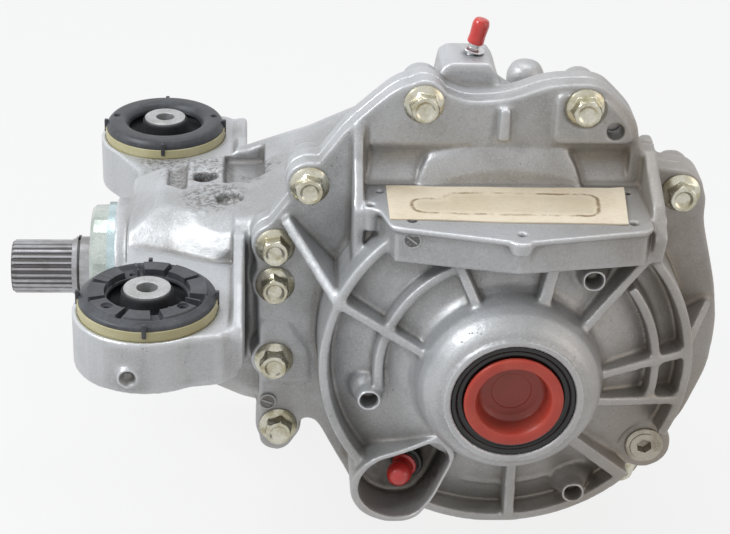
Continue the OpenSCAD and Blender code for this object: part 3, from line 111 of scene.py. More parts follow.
class Wire:
    # An output socket of a shader tree. Arithmetic on wires adds the Math nodes it needs.
    def __init__(self, tree, socket=None):
        self.tree = tree
        self.socket = socket

    def node(self, kind, settings=None, inputs=None, output=0):
        made = self.tree.nodes.new(kind)
        for name, value in (settings or {}).items():
            setattr(made, name, value)
        feed(made, inputs or {})
        return Wire(self.tree, made.outputs[output])

    def maths(self, operation, *values):
        return self.node("ShaderNodeMath", {"operation": operation}, dict(enumerate(values)))

    __add__ = lambda self, other: self.maths("ADD", self, other)
    __radd__ = lambda self, other: self.maths("ADD", other, self)
    __sub__ = lambda self, other: self.maths("SUBTRACT", self, other)
    __rsub__ = lambda self, other: self.maths("SUBTRACT", other, self)
    __mul__ = lambda self, other: self.maths("MULTIPLY", self, other)

    def ramp(self, low, high):  # 0 below low, 1 above high, eased between
        return self.node("ShaderNodeMapRange", {"interpolation_type": "SMOOTHSTEP"},
                         {0: self, 1: low, 2: high, 3: 0.0, 4: 1.0})

    def noise(self, vector, scale, detail=3.0, rough=0.55):
        return self.node("ShaderNodeTexNoise", {},
                         {"Vector": vector, "Scale": scale, "Detail": detail, "Roughness": rough})

    def mix(self, factor, first, second):
        return self.node("ShaderNodeMix", {"data_type": "RGBA"}, {0: factor, 6: first, 7: second}, 2)

    def length(self, first, second):
        return self.maths("SQRT", first * first + second * second)

    def place(self):  # object coordinates, in metres
        return self.node("ShaderNodeTexCoord", output="Object")

    def axis(self, vector, name):
        return self.node("ShaderNodeSeparateXYZ", {}, {0: vector}, name)

    def bump(self, height, strength, distance):
        return self.node("ShaderNodeBump", {}, {"Height": height, "Strength": strength, "Distance": distance})


def startMaterial(name):
    mat = bpy.data.materials.new(name)
    mat.use_nodes = True
    return mat, Wire(mat.node_tree), mat.node_tree.nodes["Principled BSDF"]


def feed(node, values):  # links wires to a node's inputs and sets plain values on them
    for name, value in values.items():
        if isinstance(value, Wire):
            value.tree.links.new(value.socket, node.inputs[name])
        else:
            node.inputs[name].default_value = value


def rgb(*screen):  # a colour as it looks on screen, 0 to 255, made linear
    linear = [c / 255 / 12.92 if c <= 10 else ((c / 255 + 0.055) / 1.055) ** 2.4 for c in screen]
    return (*linear, 1.0)


studio = {
    "floorGap": 0.0003,        # metres between the feet and the floor
    "floorSize": 6.0,
    "floorColours": (rgb(200, 198, 196), rgb(206, 203, 200)),
    "floorRough": 0.85,
    "floorWhite": 0.84,        # share of plain white in what the camera sees; the rest shows the shadow
    "skyBright": (0.83, 0.91, 1.0, 1.0),   # light from the upper left
    "skyDim": (0.17, 0.135, 0.105, 1.0),   # light from the lower right
    "skyFrom": (-0.42, 0.05, 0.90),
    "skyEdges": (-0.45, 0.85),             # where the sky is all dim and all bright, along skyFrom
    "skyStrength": 0.62,
}
lamps = {
    "windowLamp": dict(place=(-1.05, -0.40, 1.10), aim=(0.15, 0, -0.05), size=(0.7, 0.5), power=16,
                       colour=(0.93, 0.97, 1.0)),
    "topLamp": dict(place=(0.30, 0.35, 1.5), aim=(0.15, 0, 0), size=(1.0, 0.7), power=6,
                    colour=(0.95, 0.97, 1.0)),
    "warmLamp": dict(place=(1.3, -0.6, 0.4), aim=(0.2, 0, -0.05), size=(0.6, 0.8), power=2,
                     colour=(1.0, 0.86, 0.72)),
}


def seenRays(wire):  # 1 for what the camera, a reflection or clear glass sees, 0 for what lights the object
    rays = [wire.node("ShaderNodeLightPath", output=name)
            for name in ("Is Camera Ray", "Is Glossy Ray", "Is Transmission Ray")]
    return wire.maths("MINIMUM", rays[0] + rays[1] + rays[2], 1.0)


def showWhite(wire, kind, share, shader, output):  # mixes a share of plain white into what a shader shows
    white = wire.node(kind, {}, {"Color": (1, 1, 1, 1), "Strength": 1.0})
    both = wire.node("ShaderNodeMixShader", {}, {0: share, 1: Wire(wire.tree, shader.outputs[0]), 2: white})
    wire.tree.links.new(both.socket, wire.tree.nodes[output].inputs["Surface"])


def makeStudio(s):
    low = cadBox[0][2] - s["floorGap"]
    half = s["floorSize"] / 2
    mesh = bpy.data.meshes.new("floor")
    mesh.from_pydata([(-half, -half, low), (half, -half, low), (half, half, low), (-half, half, low)], [],
                     [(0, 1, 2, 3)])
    floor = linked("floor", mesh)
    mat, wire, shader = startMaterial("paleFloor")
    clouds = wire.noise(wire.place(), 3.0)
    feed(shader, {"Base Color": wire.mix(clouds, *s["floorColours"]), "Roughness": s["floorRough"]})
    showWhite(wire, "ShaderNodeEmission", seenRays(wire) * s["floorWhite"], shader, "Material Output")
    mesh.materials.append(mat)
    world = bpy.data.worlds.new("softSky")
    scene.world = world
    world.use_nodes = True
    sky = Wire(world.node_tree)
    background = world.node_tree.nodes["Background"]
    direction = sky.node("ShaderNodeTexCoord", output="Generated")
    facing = sky.node("ShaderNodeVectorMath", {"operation": "DOT_PRODUCT"},
                      {0: direction, 1: s["skyFrom"]}, "Value")
    feed(background, {"Color": sky.mix(facing.ramp(*s["skyEdges"]), s["skyDim"], s["skyBright"]),
                      "Strength": s["skyStrength"]})
    showWhite(sky, "ShaderNodeBackground", seenRays(sky), background, "World Output")


def areaLamp(name, place, aim, size, power, colour):
    data = bpy.data.lights.new(name, "AREA")
    data.shape = "RECTANGLE"
    data.size, data.size_y = size
    data.energy = power
    data.color = colour
    lamp = linked(name, data)
    lamp.location = place
    lamp.rotation_euler = (Vector(aim) - Vector(place)).to_track_quat("-Z", "Y").to_euler()


makeStudio(studio)
for name, values in lamps.items():
    areaLamp(name, **values)
print("studio lit")


def inDrive(points):  # metres in the part's frame to millimetres from the axle crossing
    return (points - axleCross) / mm


def fromDrive(points):
    return np.asarray(points, float) * mm + axleCross


def easeStep(low, high, value):  # 0 below low, 1 above high, a smooth cubic between
    t = np.clip((value - low) / (high - low), 0.0, 1.0)
    return t * t * (3 - 2 * t)


def readPoints(mesh):
    points = np.empty(len(mesh.vertices) * 3)
    mesh.vertices.foreach_get("co", points)
    return points.reshape(-1, 3)


def readEdges(mesh):
    edges = np.empty(len(mesh.edges) * 2, np.int64)
    mesh.edges.foreach_get("vertices", edges)
    return edges.reshape(-1, 2)


def applied(piece):  # puts the result of the piece's modifiers in its mesh
    bpy.context.view_layer.update()
    done = bpy.data.meshes.new_from_object(piece.evaluated_get(bpy.context.evaluated_depsgraph_get()))
    piece.modifiers.clear()
    old = piece.data
    piece.data = done
    bpy.data.meshes.remove(old)


easing = {
    "pull": 0.5,             # how far a vertex moves to its neighbours' mean in a round
    "held": 0.92,            # how much of that is taken off where a place is machined
    "ridgeRounds": 2,
    "hollowRounds": 40,
    "quickRounds": 10,
    "hollowPull": 0.6,
}


def neighbourMean(values, edges, count):
    # Mean of each vertex's neighbours: sums over the ends of edges, over the number of ends
    ends, starts = np.concatenate([edges[:, 0], edges[:, 1]]), np.concatenate([edges[:, 1], edges[:, 0]])
    number = np.maximum(np.bincount(ends, minlength=count), 1)
    if values.ndim == 1:
        return np.bincount(ends, values[starts], count) / number
    return np.stack([np.bincount(ends, values[starts, k], count) / number for k in range(values.shape[1])], 1)


def soften(points, edges, keep, rounds):
    # Each round moves a vertex part of the way to its neighbours' mean, and hardly where keep is 1
    share = (easing["pull"] * (1 - easing["held"] * keep))[:, None]
    for _ in range(rounds):
        points = points + (neighbourMean(points, edges, len(points)) - points) * share
    return points


def markEdges(mesh):
    # Attribute edge: how far a vertex stands above its neighbours, positive on a ridge, negative in a corner.
    # Attribute hollow: millimetres that a vertex lies under the surface smoothed over many neighbours.
    points, edges = readPoints(mesh), readEdges(mesh)
    normals = np.empty(len(points) * 3)
    mesh.vertex_normals.foreach_get("vector", normals)
    normals = normals.reshape(-1, 3)
    run = points[edges[:, 1]] - points[edges[:, 0]]
    run /= np.maximum(np.linalg.norm(run, axis=1), 1e-9)[:, None]
    up = np.bincount(edges[:, 0], -(run * normals[edges[:, 0]]).sum(1), len(points))
    up += np.bincount(edges[:, 1], (run * normals[edges[:, 1]]).sum(1), len(points))
    up /= np.maximum(np.bincount(edges.ravel(), minlength=len(points)), 1)
    for _ in range(easing["ridgeRounds"]):
        up = (up + neighbourMean(up, edges, len(points))) / 2
    mesh.attributes.new("edge", "FLOAT", "POINT").data.foreach_set("value", up.astype(np.float32))
    smooth, pull = points, easing["hollowPull"]
    for _ in range(easing["hollowRounds"]):
        smooth = neighbourMean(smooth, edges, len(points)) * pull + smooth * (1 - pull)
    hollow = ((smooth - points) * normals).sum(1) / mm
    mesh.attributes.new("hollow", "FLOAT", "POINT").data.foreach_set("value", hollow.astype(np.float32))


def smoothFaces(mesh, sharp=None):  # sharp: degrees from which an edge stays sharp
    mesh.polygons.foreach_set("use_smooth", np.ones(len(mesh.polygons), bool))
    if sharp:
        mesh.set_sharp_from_angle(angle=math.radians(sharp))


def castCopy(node, name, body, material, values, keepOf):
    # A casting: the CAD solid's surface drawn again in small squares, eased into cast fillets, then thinned
    # on its flats. Blocks are closed shapes that the drawing again joins to the casting.
    mesh = frame["nodes"][node].data.copy()
    whole = bmesh.new()
    whole.from_mesh(mesh)
    bmesh.ops.remove_doubles(whole, verts=whole.verts, dist=1e-6)
    for low, high in values.get("blocks", ()):  # corners in millimetres from the axle crossing
        middle, size = (np.add(low, high) / 2), np.subtract(high, low)
        spot = Matrix.Translation(fromDrive(middle)) @ Matrix.Diagonal((*(size * mm), 1.0))
        bmesh.ops.create_cube(whole, size=1.0, matrix=spot)
    whole.to_mesh(mesh)
    whole.free()
    mesh.materials.clear()
    piece = linked(name, mesh)
    skin = piece.modifiers.new("skin", "REMESH")
    skin.mode = "VOXEL"
    skin.voxel_size = values["square"] * 1
    applied(piece)
    points, edges = readPoints(piece.data), readEdges(piece.data)
    keep = keepOf(inDrive(points))
    points = soften(points, edges, keep, values["rounds"] // (1))
    piece.data.vertices.foreach_set("co", points.ravel())
    piece.data.update()
    triangles = 2 * len(piece.data.polygons)
    thin = piece.modifiers.new("thin", "DECIMATE")
    thin.ratio = min(1.0, values["triangles"] / triangles)
    applied(piece)
    markEdges(piece.data)
    smoothFaces(piece.data)
    piece.modifiers.new("faceWeights", "WEIGHTED_NORMAL").weight = 50
    piece.data.materials.append(material)
    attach(piece, body)
    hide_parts(node)
    print(name, "made of", triangles, "triangles, thinned to", len(piece.data.polygons))


castMetal = {
    "pale": rgb(184, 184, 185),      # clean cast skin
    "dull": rgb(148, 147, 145),      # oxidised patches
    "bright": rgb(220, 221, 223),    # paler tone of the grain, and the painted highlight on ridges and proud places
    "shadeBrown": rgb(134, 120, 100),     # painted warm shade and reflection on the right and low on the part
    "dirtAndShade": rgb(92, 86, 78),         # dirt in pits and coarse places, and painted shade in corners, hollows and recesses
    "metallic": 0.50,
    "skinRough": 0.46,
    "edgeRough": 0.28,
    "rough": (),                     # places where the skin came out coarse: x, y, z and radius
    "dark": (),                      # places darkened with painted shade, given in the same way
    "right": (0.19, 0.33),           # metres along x over which the painted shade grows
    "low": (-0.17, -0.05),           # metres along z over which the painted shade fades
    "patches": 16.0,                 # cells per metre of each layer of noise
    "fine": 420.0,
    "grain": 1100.0,                 # of the shot-blasted grain
    "lumps": 190.0,                  # of the soft lumps in the cast skin
    "pits": 240.0,
    "crumbs": 330.0,                 # of the coarse places
    "bump": (0.7, 0.00024),          # strength, and height in metres
}


def castMaterial(name, c):
    mat, wire, shader = startMaterial(name)
    where = wire.place()
    edge = wire.node("ShaderNodeAttribute", {"attribute_name": "edge"}, output="Fac")
    patches = wire.noise(where, c["patches"], 5.0, 0.6).ramp(0.38, 0.66)
    fine = wire.noise(where, c["fine"], 3.0, 0.6)
    grain = wire.noise(where, c["grain"], 2.0, 0.5)
    lumps = wire.noise(where, c["lumps"], 3.0, 0.5)
    pits = wire.node("ShaderNodeTexVoronoi", {}, {"Vector": where, "Scale": c["pits"]}, "Distance")
    pits = (1 - pits.ramp(0.05, 0.16)) * wire.noise(where, 30.0, 2.0).ramp(0.52, 0.62)
    ridge = (edge + (fine - 0.5) * 0.06).ramp(0.05, 0.17)
    corner = (0 - edge + (fine - 0.5) * 0.05).ramp(0.05, 0.2)
    hollow = wire.node("ShaderNodeAttribute", {"attribute_name": "hollow"}, output="Fac")
    deep = (hollow + (wire.noise(where, 60.0, 4.0, 0.6) - 0.5) * 0.9).ramp(0.15, 1.7)
    proud = (0 - hollow + (fine - 0.5) * 0.4).ramp(0.2, 1.6)
    # painted shade, with some dirt, in corners and in hollows under the smoothed surface
    shadeAndGrime = wire.maths("MINIMUM", corner * (0.35 + patches * 0.4) + deep * 0.5, 0.85)
    colour = wire.mix(patches * 0.65, c["pale"], c["dull"])
    colour = wire.mix((fine - 0.5).ramp(0.0, 0.22) * 0.34, colour, c["dull"])
    colour = wire.mix((grain - 0.52).ramp(0.0, 0.16) * 0.30, colour, c["bright"])
    # painted highlight on places standing proud of the smoothed surface
    colour = wire.mix(proud * 0.3, colour, c["bright"])
    colour = wire.mix(shadeAndGrime, colour, c["dirtAndShade"])
    colour = wire.mix(pits * 0.5, colour, c["dirtAndShade"])
    # painted highlight along ridges
    colour = wire.mix(ridge * 0.75, colour, c["bright"])
    rough = c["skinRough"] + (patches - 0.5) * 0.10 + (fine - 0.5) * 0.12
    rough = rough - ridge * (c["skinRough"] - c["edgeRough"])
    height = grain * 0.6 + fine * 0.6 + lumps * 1.2 - pits * 1.2
    # painted shade and warm reflection: the right side and the bottom are darker and browner
    paintedSideShade = wire.axis(where, "X").ramp(*c["right"]) * 0.5 + (1 - wire.axis(where, "Z").ramp(*c["low"])) * 0.3
    paintedSideShade = wire.maths("MINIMUM", paintedSideShade * (0.75 + wire.noise(where, 22.0, 4.0, 0.6) * 0.5), 0.8)
    colour = wire.mix(paintedSideShade, colour, c["shadeBrown"])
    for spots, coarse in ((c["rough"], True), (c["dark"], False)):
        for x, y, z, reach in spots:
            away = wire.node("ShaderNodeVectorMath", {"operation": "DISTANCE"},
                             {0: where, 1: tuple(fromDrive((x, y, z)))}, "Value")
            near = 1 - (away + (lumps - 0.5) * 0.02).ramp(reach * mm * 0.45, reach * mm)
            if coarse:
                crumbs = wire.noise(where, c["crumbs"], 3.0, 0.75)
                height = height + near * crumbs * 7.0
                colour = wire.mix(near * (1 - crumbs.ramp(0.40, 0.56)) * 0.7, colour, c["dirtAndShade"])
            else:
                # painted shade in a recess
                colour = wire.mix(near * 0.75, colour, c["dirtAndShade"])
    feed(shader, {"Base Color": colour, "Roughness": rough, "Metallic": c["metallic"],
                  "Normal": wire.bump(height, *c["bump"])})
    return mat


roughPlaces = ((-178, -20, 60, 26), (-190, 24, 56, 30), (-214, 78, 40, 22), (-150, 10, 62, 20))
darkPlaces = ((-54, -98, -80, 34), (-50, -110, -72, 26))  # painted shade in the pocket of the port
casingMetal = castMaterial("castCasing", dict(castMetal, rough=roughPlaces))
coverMetal = castMaterial("castCover", dict(castMetal, dark=darkPlaces))

mainCasting = {
    "square": 0.0012,        # side of the squares that the surface is drawn with
    "rounds": 12,            # rounds of easing: more makes wider cast fillets
    "triangles": 190000,
    "jointFace": 70.0,
    "bushAxis": (-215.0, 125.0),
    "bushBore": 41.0,
    "noseFace": -241.0,
    "farFace": 118.0,
    "farRing": 44.0,
}


def mainKeep(p):  # machined places stay crisp: the joint face, the bush bores, the nose and the far output
    c = mainCasting
    bush = np.hypot(p[:, 0] - c["bushAxis"][0], np.abs(p[:, 1]) - c["bushAxis"][1])
    keep = 1 - easeStep(1.5, 4.0, np.abs(p[:, 1] + c["jointFace"]))
    keep = np.maximum(keep, 1 - easeStep(2.0, 3.5, np.abs(bush - c["bushBore"])))
    keep = np.maximum(keep, 1 - easeStep(1.0, 3.0, p[:, 0] - c["noseFace"]))
    ring = np.hypot(p[:, 0], p[:, 2]) < c["farRing"]
    return np.maximum(keep, ring * easeStep(-5.0, -2.0, p[:, 1] - c["farFace"]))


coverCasting = {
    "square": 0.0010,
    "rounds": 14,
    "triangles": 195000,
    "jointFace": -70.0,
    "flangeFace": -82.0,
    "padTop": 100.0,
    "outputRing": 42.5,
    "outputFace": -169.0,
    "blocks": (((-46, -112, 95.8), (46, -81, 99.9)),    # under the pad
               ((-29, -86, 99), (29, -80, 104.4)),      # between the pad and the bulge
               ((-93, -106, 68), (-79, -81, 88))),      # corner left of the pad
}


def coverKeep(p):  # machined places stay crisp: the joint face, the pad, the output's ring
    c = coverCasting
    keep = 1 - easeStep(1.0, 3.0, np.abs(p[:, 1] - c["jointFace"]))
    keep = np.maximum(keep, easeStep(-2.5, -1.0, p[:, 2] - c["padTop"]) * (p[:, 2] < c["padTop"] + 1)
                      * (p[:, 1] < c["flangeFace"] - 8))
    ring = np.hypot(p[:, 0], p[:, 2])
    return np.maximum(keep, (ring < c["outputRing"] + 1) * (p[:, 1] < c["outputFace"] + 4))


castCopy("main_casing", "mainCasting", "root", casingMetal, mainCasting, mainKeep)
castCopy("side_cover", "coverCasting", "root", coverMetal, coverCasting, coverKeep)

# Shapes turned or drawn on a grid of two parameters

turns = {  # which way a piece's own z axis points in the part's frame
    "up": np.array([[1, 0, 0], [0, 1, 0], [0, 0, 1]], float),
    "down": np.array([[1, 0, 0], [0, -1, 0], [0, 0, -1]], float),
    "near": np.array([[1, 0, 0], [0, 0, -1], [0, 1, 0]], float),
    "far": np.array([[1, 0, 0], [0, 0, 1], [0, -1, 0]], float),
}


def spun(degrees):
    c, s = math.cos(math.radians(degrees)), math.sin(math.radians(degrees))
    return np.array([[c, -s, 0], [s, c, 0], [0, 0, 1]])


def leaning(degrees):  # turned about y, towards +x
    c, s = math.cos(math.radians(degrees)), math.sin(math.radians(degrees))
    return np.array([[c, 0, s], [0, 1, 0], [-s, 0, c]])


def placed(grid, turn, origin):  # from the piece's own millimetres; origin in those from the axle crossing
    return fromDrive(grid @ turn.T + np.asarray(origin, float))


def eased(corners, radius, closed=False, steps=4):
    # Corners of a profile, each changed for the curve p(1-t)^2 + 2ct(1-t) + qt^2, whose ends p and q lie a
    # radius away from the corner c
    c = np.asarray(corners, float)
    before, after = np.roll(c, 1, 0) - c, np.roll(c, -1, 0) - c
    reach = [np.minimum(radius / np.maximum(np.linalg.norm(side, axis=1), 1e-9), 0.46)[:, None]
             for side in (before, after)]
    p, q = (c + before * reach[0])[:, None], (c + after * reach[1])[:, None]
    t = np.linspace(0, 1, steps)[None, :, None]
    curve = p * (1 - t) ** 2 + c[:, None] * 2 * t * (1 - t) + q * t ** 2
    if closed:
        return curve.reshape(-1, 2)
    return np.concatenate([c[:1], curve[1:-1].reshape(-1, 2), c[-1:]])


def circle(count):  # angles once round, as a row
    return (np.arange(count) / count * 2 * math.pi)[None, :]


def rings(r, h, angle):
    return np.stack([r * np.cos(angle), r * np.sin(angle), h * np.ones_like(angle)], -1)


def turned(profile, count=96, shape=None):
    # Surface of revolution from profile points (r, h) at each angle; shape may change r and h
    angle = circle(count)
    r = np.repeat(profile[:, :1], count, 1)
    h = np.repeat(profile[:, 1:], count, 1)
    if shape:
        r, h = shape(r, h, angle)
    return rings(r, h, angle)


def hexagonal(rows, radiusAt):
    # The same from rows of radius, height and how far the section is a hexagon. radiusAt gives the hexagon's
    # radius, away is the angle from the middle of the nearest flat.
    angle = circle(72)
    away = (angle + math.pi / 6) % (math.pi / 3) - math.pi / 6
    r, h, six = rows[:, :1], rows[:, 1:2], rows[:, 2:]
    return rings(r * (1 - six) + radiusAt(r, away) * six, h, angle)


def blockGrid(size, centre, roundness=0.22, count=24):
    # Rounded block: each direction's sine and cosine raised to a small power, keeping their signs
    v = np.linspace(-math.pi / 2, math.pi / 2, count // 2 + 1)[:, None]
    u = circle(count)
    power = lambda x: np.sign(x) * np.abs(x) ** roundness
    shape = np.stack([power(np.cos(v)) * power(np.cos(u)), power(np.cos(v)) * power(np.sin(u)),
                      power(np.sin(v)) * np.ones_like(u)], -1)
    return shape * np.asarray(size) / 2 + np.asarray(centre)


def makePiece(name, nodes, body, slot, grids, closed=False, sharp=50.0, material=None):
    # One mesh from grids of points that close round in their columns, and in their rows too where closed is
    # true, with the finish of its slot where no material is given
    points, faces, start = [], [], 0
    for grid in grids:
        rows, columns = grid.shape[:2]
        points.append(grid.reshape(-1, 3))
        i = np.arange(rows if closed else rows - 1)[:, None] * columns
        nextRow = (i + columns) % (rows * columns)
        j = np.arange(columns)[None, :]
        k = (j + 1) % columns
        faces.append(np.stack([i + j, i + k, nextRow + k, nextRow + j], -1).reshape(-1, 4) + start)
        start += rows * columns
    mesh = bpy.data.meshes.new(name)
    mesh.from_pydata(np.concatenate(points).tolist(), [], np.concatenate(faces).tolist())
    whole = bmesh.new()
    whole.from_mesh(mesh)
    bmesh.ops.remove_doubles(whole, verts=whole.verts, dist=2e-6)
    bmesh.ops.recalc_face_normals(whole, faces=whole.faces)
    whole.to_mesh(mesh)
    whole.free()
    smoothFaces(mesh, sharp)
    mesh.materials.append(material or finish[slot])
    piece = linked(name, mesh)
    piece.modifiers.new("faceWeights", "WEIGHTED_NORMAL").keep_sharp = True
    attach(piece, body)
    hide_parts(*nodes)


# Finishes

metalLook = {  # what a metal has unless its entry below says otherwise; noise scales in cells per metre
    "clouds": 60.0,
    "fine": 900.0,
    "lines": 700.0,
    "specks": 330.0,
    "brush": (1.0, 1.0, 1.0),    # small along the way that the scratches run
    "metallic": 0.85,
    "grooves": None,             # painted shade on the floor of a spline: from and to radius from the input axis, end along x
    "bump": 0.35,
    "depth": 0.00012,            # height of the bump in metres
}
mouldedLook = {
    "clouds": 45.0,
    "grain": 1500.0,
    "dusty": 260.0,
    "flow": 18.0,
    "rub": 0.6,
    "dust": 0.25,
    "coat": 0.0,
    "coatRough": 0.25,
    "specular": 0.4,
    "bump": 0.3,
    "depth": 0.00015,
}


def metalFinish(name, own):  # plated, turned or ground: clouds of tarnish, scratches, spots of dirt
    f = dict(metalLook, **own)
    mat, wire, shader = startMaterial(name)
    where = wire.place()
    clouds = wire.noise(where, f["clouds"], 4.0, 0.6).ramp(0.36, 0.68)
    fine = wire.noise(where, f["fine"], 2.0, 0.6)
    stretched = wire.node("ShaderNodeMapping", {}, {"Vector": where, "Scale": f["brush"]})
    lines = wire.noise(stretched, f["lines"], 2.0, 0.6)
    specks = wire.noise(where, f["specks"], 3.0, 0.7).ramp(0.66, 0.76)
    colour = wire.mix(clouds, f["colour"], f["tarnish"])
    colour = wire.mix((lines - 0.5).ramp(0.0, 0.22) * 0.35, colour, f["bright"])
    colour = wire.mix(specks * 0.45, colour, f["dirtAndShade"])
    if f["grooves"]:
        # painted shade on the floor between the spline's teeth
        inner, outer, end = f["grooves"]
        radius = wire.length(wire.axis(where, "Y"), wire.axis(where, "Z") - axleCross[2])
        floor = (1 - radius.ramp(inner, outer)) * (1 - wire.axis(where, "X").ramp(end - 0.002, end))
        colour = wire.mix(floor * 0.9, colour, f["dirtAndShade"])
    rough = f["rough"] + (clouds - 0.5) * 0.16 + (fine - 0.5) * 0.12
    feed(shader, {"Base Color": colour, "Roughness": rough, "Metallic": f["metallic"],
                  "Normal": wire.bump(lines * 0.6 + fine * 0.4, f["bump"], f["depth"])})
    return mat


def mouldedFinish(name, own):  # plastic, rubber or lining: a faint grain, rubbed paler patches, dust
    f = dict(mouldedLook, **own)
    mat, wire, shader = startMaterial(name)
    where = wire.place()
    rubbed = wire.noise(where, f["clouds"], 4.0, 0.62).ramp(0.42, 0.72)
    grain = wire.noise(where, f["grain"], 2.0, 0.6)
    dust = wire.noise(where, f["dusty"], 4.0, 0.7).ramp(0.58, 0.74)
    flow = wire.noise(where, f["flow"], 2.0, 0.5)
    colour = wire.mix(rubbed * f["rub"], f["colour"], f["worn"])
    colour = wire.mix((flow - 0.5).ramp(0.0, 0.3) * 0.25, colour, f["deep"])
    colour = wire.mix(dust * f["dust"], colour, f["dustColour"])
    if "dish" in f:  # the dish of an output cap is darker inside these radii from the axle line
        along, up = wire.axis(where, "X") - axleCross[0], wire.axis(where, "Z") - axleCross[2]
        inner = 1 - wire.length(along, up).ramp(*f["dish"])
        colour = wire.mix(inner * (0.45 + rubbed * 0.25), colour, f["dustColour"])
    rough = f["rough"] + (rubbed - 0.5) * 0.14 + (grain - 0.5) * 0.10
    feed(shader, {"Base Color": colour, "Roughness": rough, "Metallic": 0.0, "Coat Weight": f["coat"],
                  "Normal": wire.bump(grain * 0.7 + flow * 0.6, f["bump"], f["depth"]),
                  "Specular IOR Level": f["specular"], "Coat Roughness": f["coatRough"]})
    return mat


def tones(names, colours, more):
    return dict(zip(names, (rgb(*colour) for colour in colours)), **more)


def metal(*colours, **more):
    return tones(("colour", "tarnish", "bright", "dirtAndShade"), colours, more)


def moulding(*colours, **more):
    return tones(("colour", "worn", "deep", "dustColour"), colours, more)


metals = {
    "zinc_bolt": metal((202, 199, 184), (170, 163, 134), (228, 226, 216), (100, 92, 74), rough=0.30,
                       clouds=110.0, metallic=0.9),
    "plug_steel": metal((176, 169, 156), (146, 138, 122), (206, 201, 190), (96, 88, 76), rough=0.42,
                        clouds=90.0, metallic=0.7),
    "plated_ring": metal((200, 207, 202), (166, 175, 168), (232, 236, 232), (106, 108, 98), rough=0.30,
                         clouds=50.0),
    "blue_zinc": metal((196, 214, 218), (166, 184, 186), (222, 236, 238), (112, 120, 118), rough=0.28,
                       clouds=70.0),
    "shaft_steel": metal((178, 178, 182), (146, 144, 144), (212, 212, 214), (66, 61, 57), rough=0.34,
                         clouds=40.0, brush=(0.15, 2.0, 2.0), lines=900.0, grooves=(0.0158, 0.0171, -0.05)),
    "sleeve_steel": metal((186, 186, 186), (164, 163, 160), (214, 214, 214), (112, 106, 98), rough=0.52,
                          clouds=80.0, metallic=0.6, fine=1300.0),
    "bearing_steel": metal((190, 190, 192), (168, 168, 170), (220, 220, 222), (120, 116, 108), rough=0.22,
                           clouds=30.0),
    "gear_steel": metal((150, 150, 152), (122, 121, 122), (196, 196, 198), (70, 66, 60), rough=0.32),
    "dark_steel": metal((84, 83, 82), (64, 62, 60), (122, 121, 120), (42, 39, 36), rough=0.50, clouds=80.0,
                        metallic=0.6),
    "case_iron": metal((112, 111, 112), (92, 90, 88), (146, 146, 148), (58, 54, 50), rough=0.55,
                       clouds=40.0, metallic=0.55, bump=0.6),
    "spring_steel": metal((128, 132, 138), (104, 106, 110), (168, 172, 178), (66, 62, 58), rough=0.30),
    "tube_steel": metal((206, 206, 208), (180, 179, 178), (232, 232, 234), (126, 120, 112), rough=0.24,
                        clouds=90.0, brush=(2.0, 2.0, 0.2)),
    "washer_bronze": metal((172, 140, 88), (140, 108, 64), (206, 180, 128), (84, 66, 40), rough=0.34),
}
mouldings = {
    "bush_rubber": moulding((38, 38, 40), (62, 62, 64), (26, 26, 27), (112, 108, 100), rough=0.72,
                            specular=0.3, dust=0.22),
    "seal_rubber": moulding((28, 28, 29), (44, 44, 46), (18, 18, 18), (96, 92, 86), rough=0.34,
                            specular=0.5, dust=0.12),
    "stop_plastic": moulding((62, 63, 66), (96, 97, 101), (42, 43, 45), (142, 139, 132), rough=0.46,
                             dust=0.20, clouds=70.0),
    "collar_plastic": moulding((190, 180, 138), (206, 198, 162), (166, 154, 110), (120, 108, 80),
                               rough=0.46, clouds=60.0),
    "red_plastic": moulding((206, 44, 40), (220, 72, 60), (168, 26, 30), (232, 146, 128), rough=0.24,
                            specular=0.5, dust=0.10, coat=0.5),
    "orange_plastic": moulding((196, 70, 54), (208, 94, 76), (158, 50, 42), (112, 70, 60), rough=0.36,
                               specular=0.45, dust=0.22, dish=(0.0195, 0.0232)),
    "friction_lining": moulding((92, 78, 64), (112, 96, 80), (70, 58, 48), (58, 50, 44), rough=0.85,
                                specular=0.2, bump=0.6),
}
finish = {slot: metalFinish(slot + "Finish", f) for slot, f in metals.items()}
finish.update({slot: mouldedFinish(slot + "Finish", f) for slot, f in mouldings.items()})
finish["casing_aluminium"], finish["cover_aluminium"] = casingMetal, coverMetal
for part in frame["record"]["subparts"]:
    for socket in frame["nodes"][part["node"]].material_slots:
        if part["material_slot"] in finish:
            socket.material = finish[part["material_slot"]]
print("finishes made:", len(finish))

# Flanged bolts round the cover

coverBolt = {
    "places": ((-119.5, 99), (-139.7, 57.7), (-139.6, 31.5), (-139.9, -21.8), (-136.7, -70), (-53, 152.4),
               (42.5, 150.8), (104.8, 95.9), (84, -98), (38, -119), (-30, -121.5)),
    "seat": 82.0,            # distance from the axle's middle to the heads' seats
    "flange": 12.0,
    "acrossFlats": 15.6,
    "headTop": 11.6,
    "dish": 1.3,             # depth of the hollow in the head's top
    "threadR": 6.0,
    "threadEnd": -32.0,
    "turns": (12, 41, 5, 27, 50, 18, 33, 8, 46, 22, 37),
}


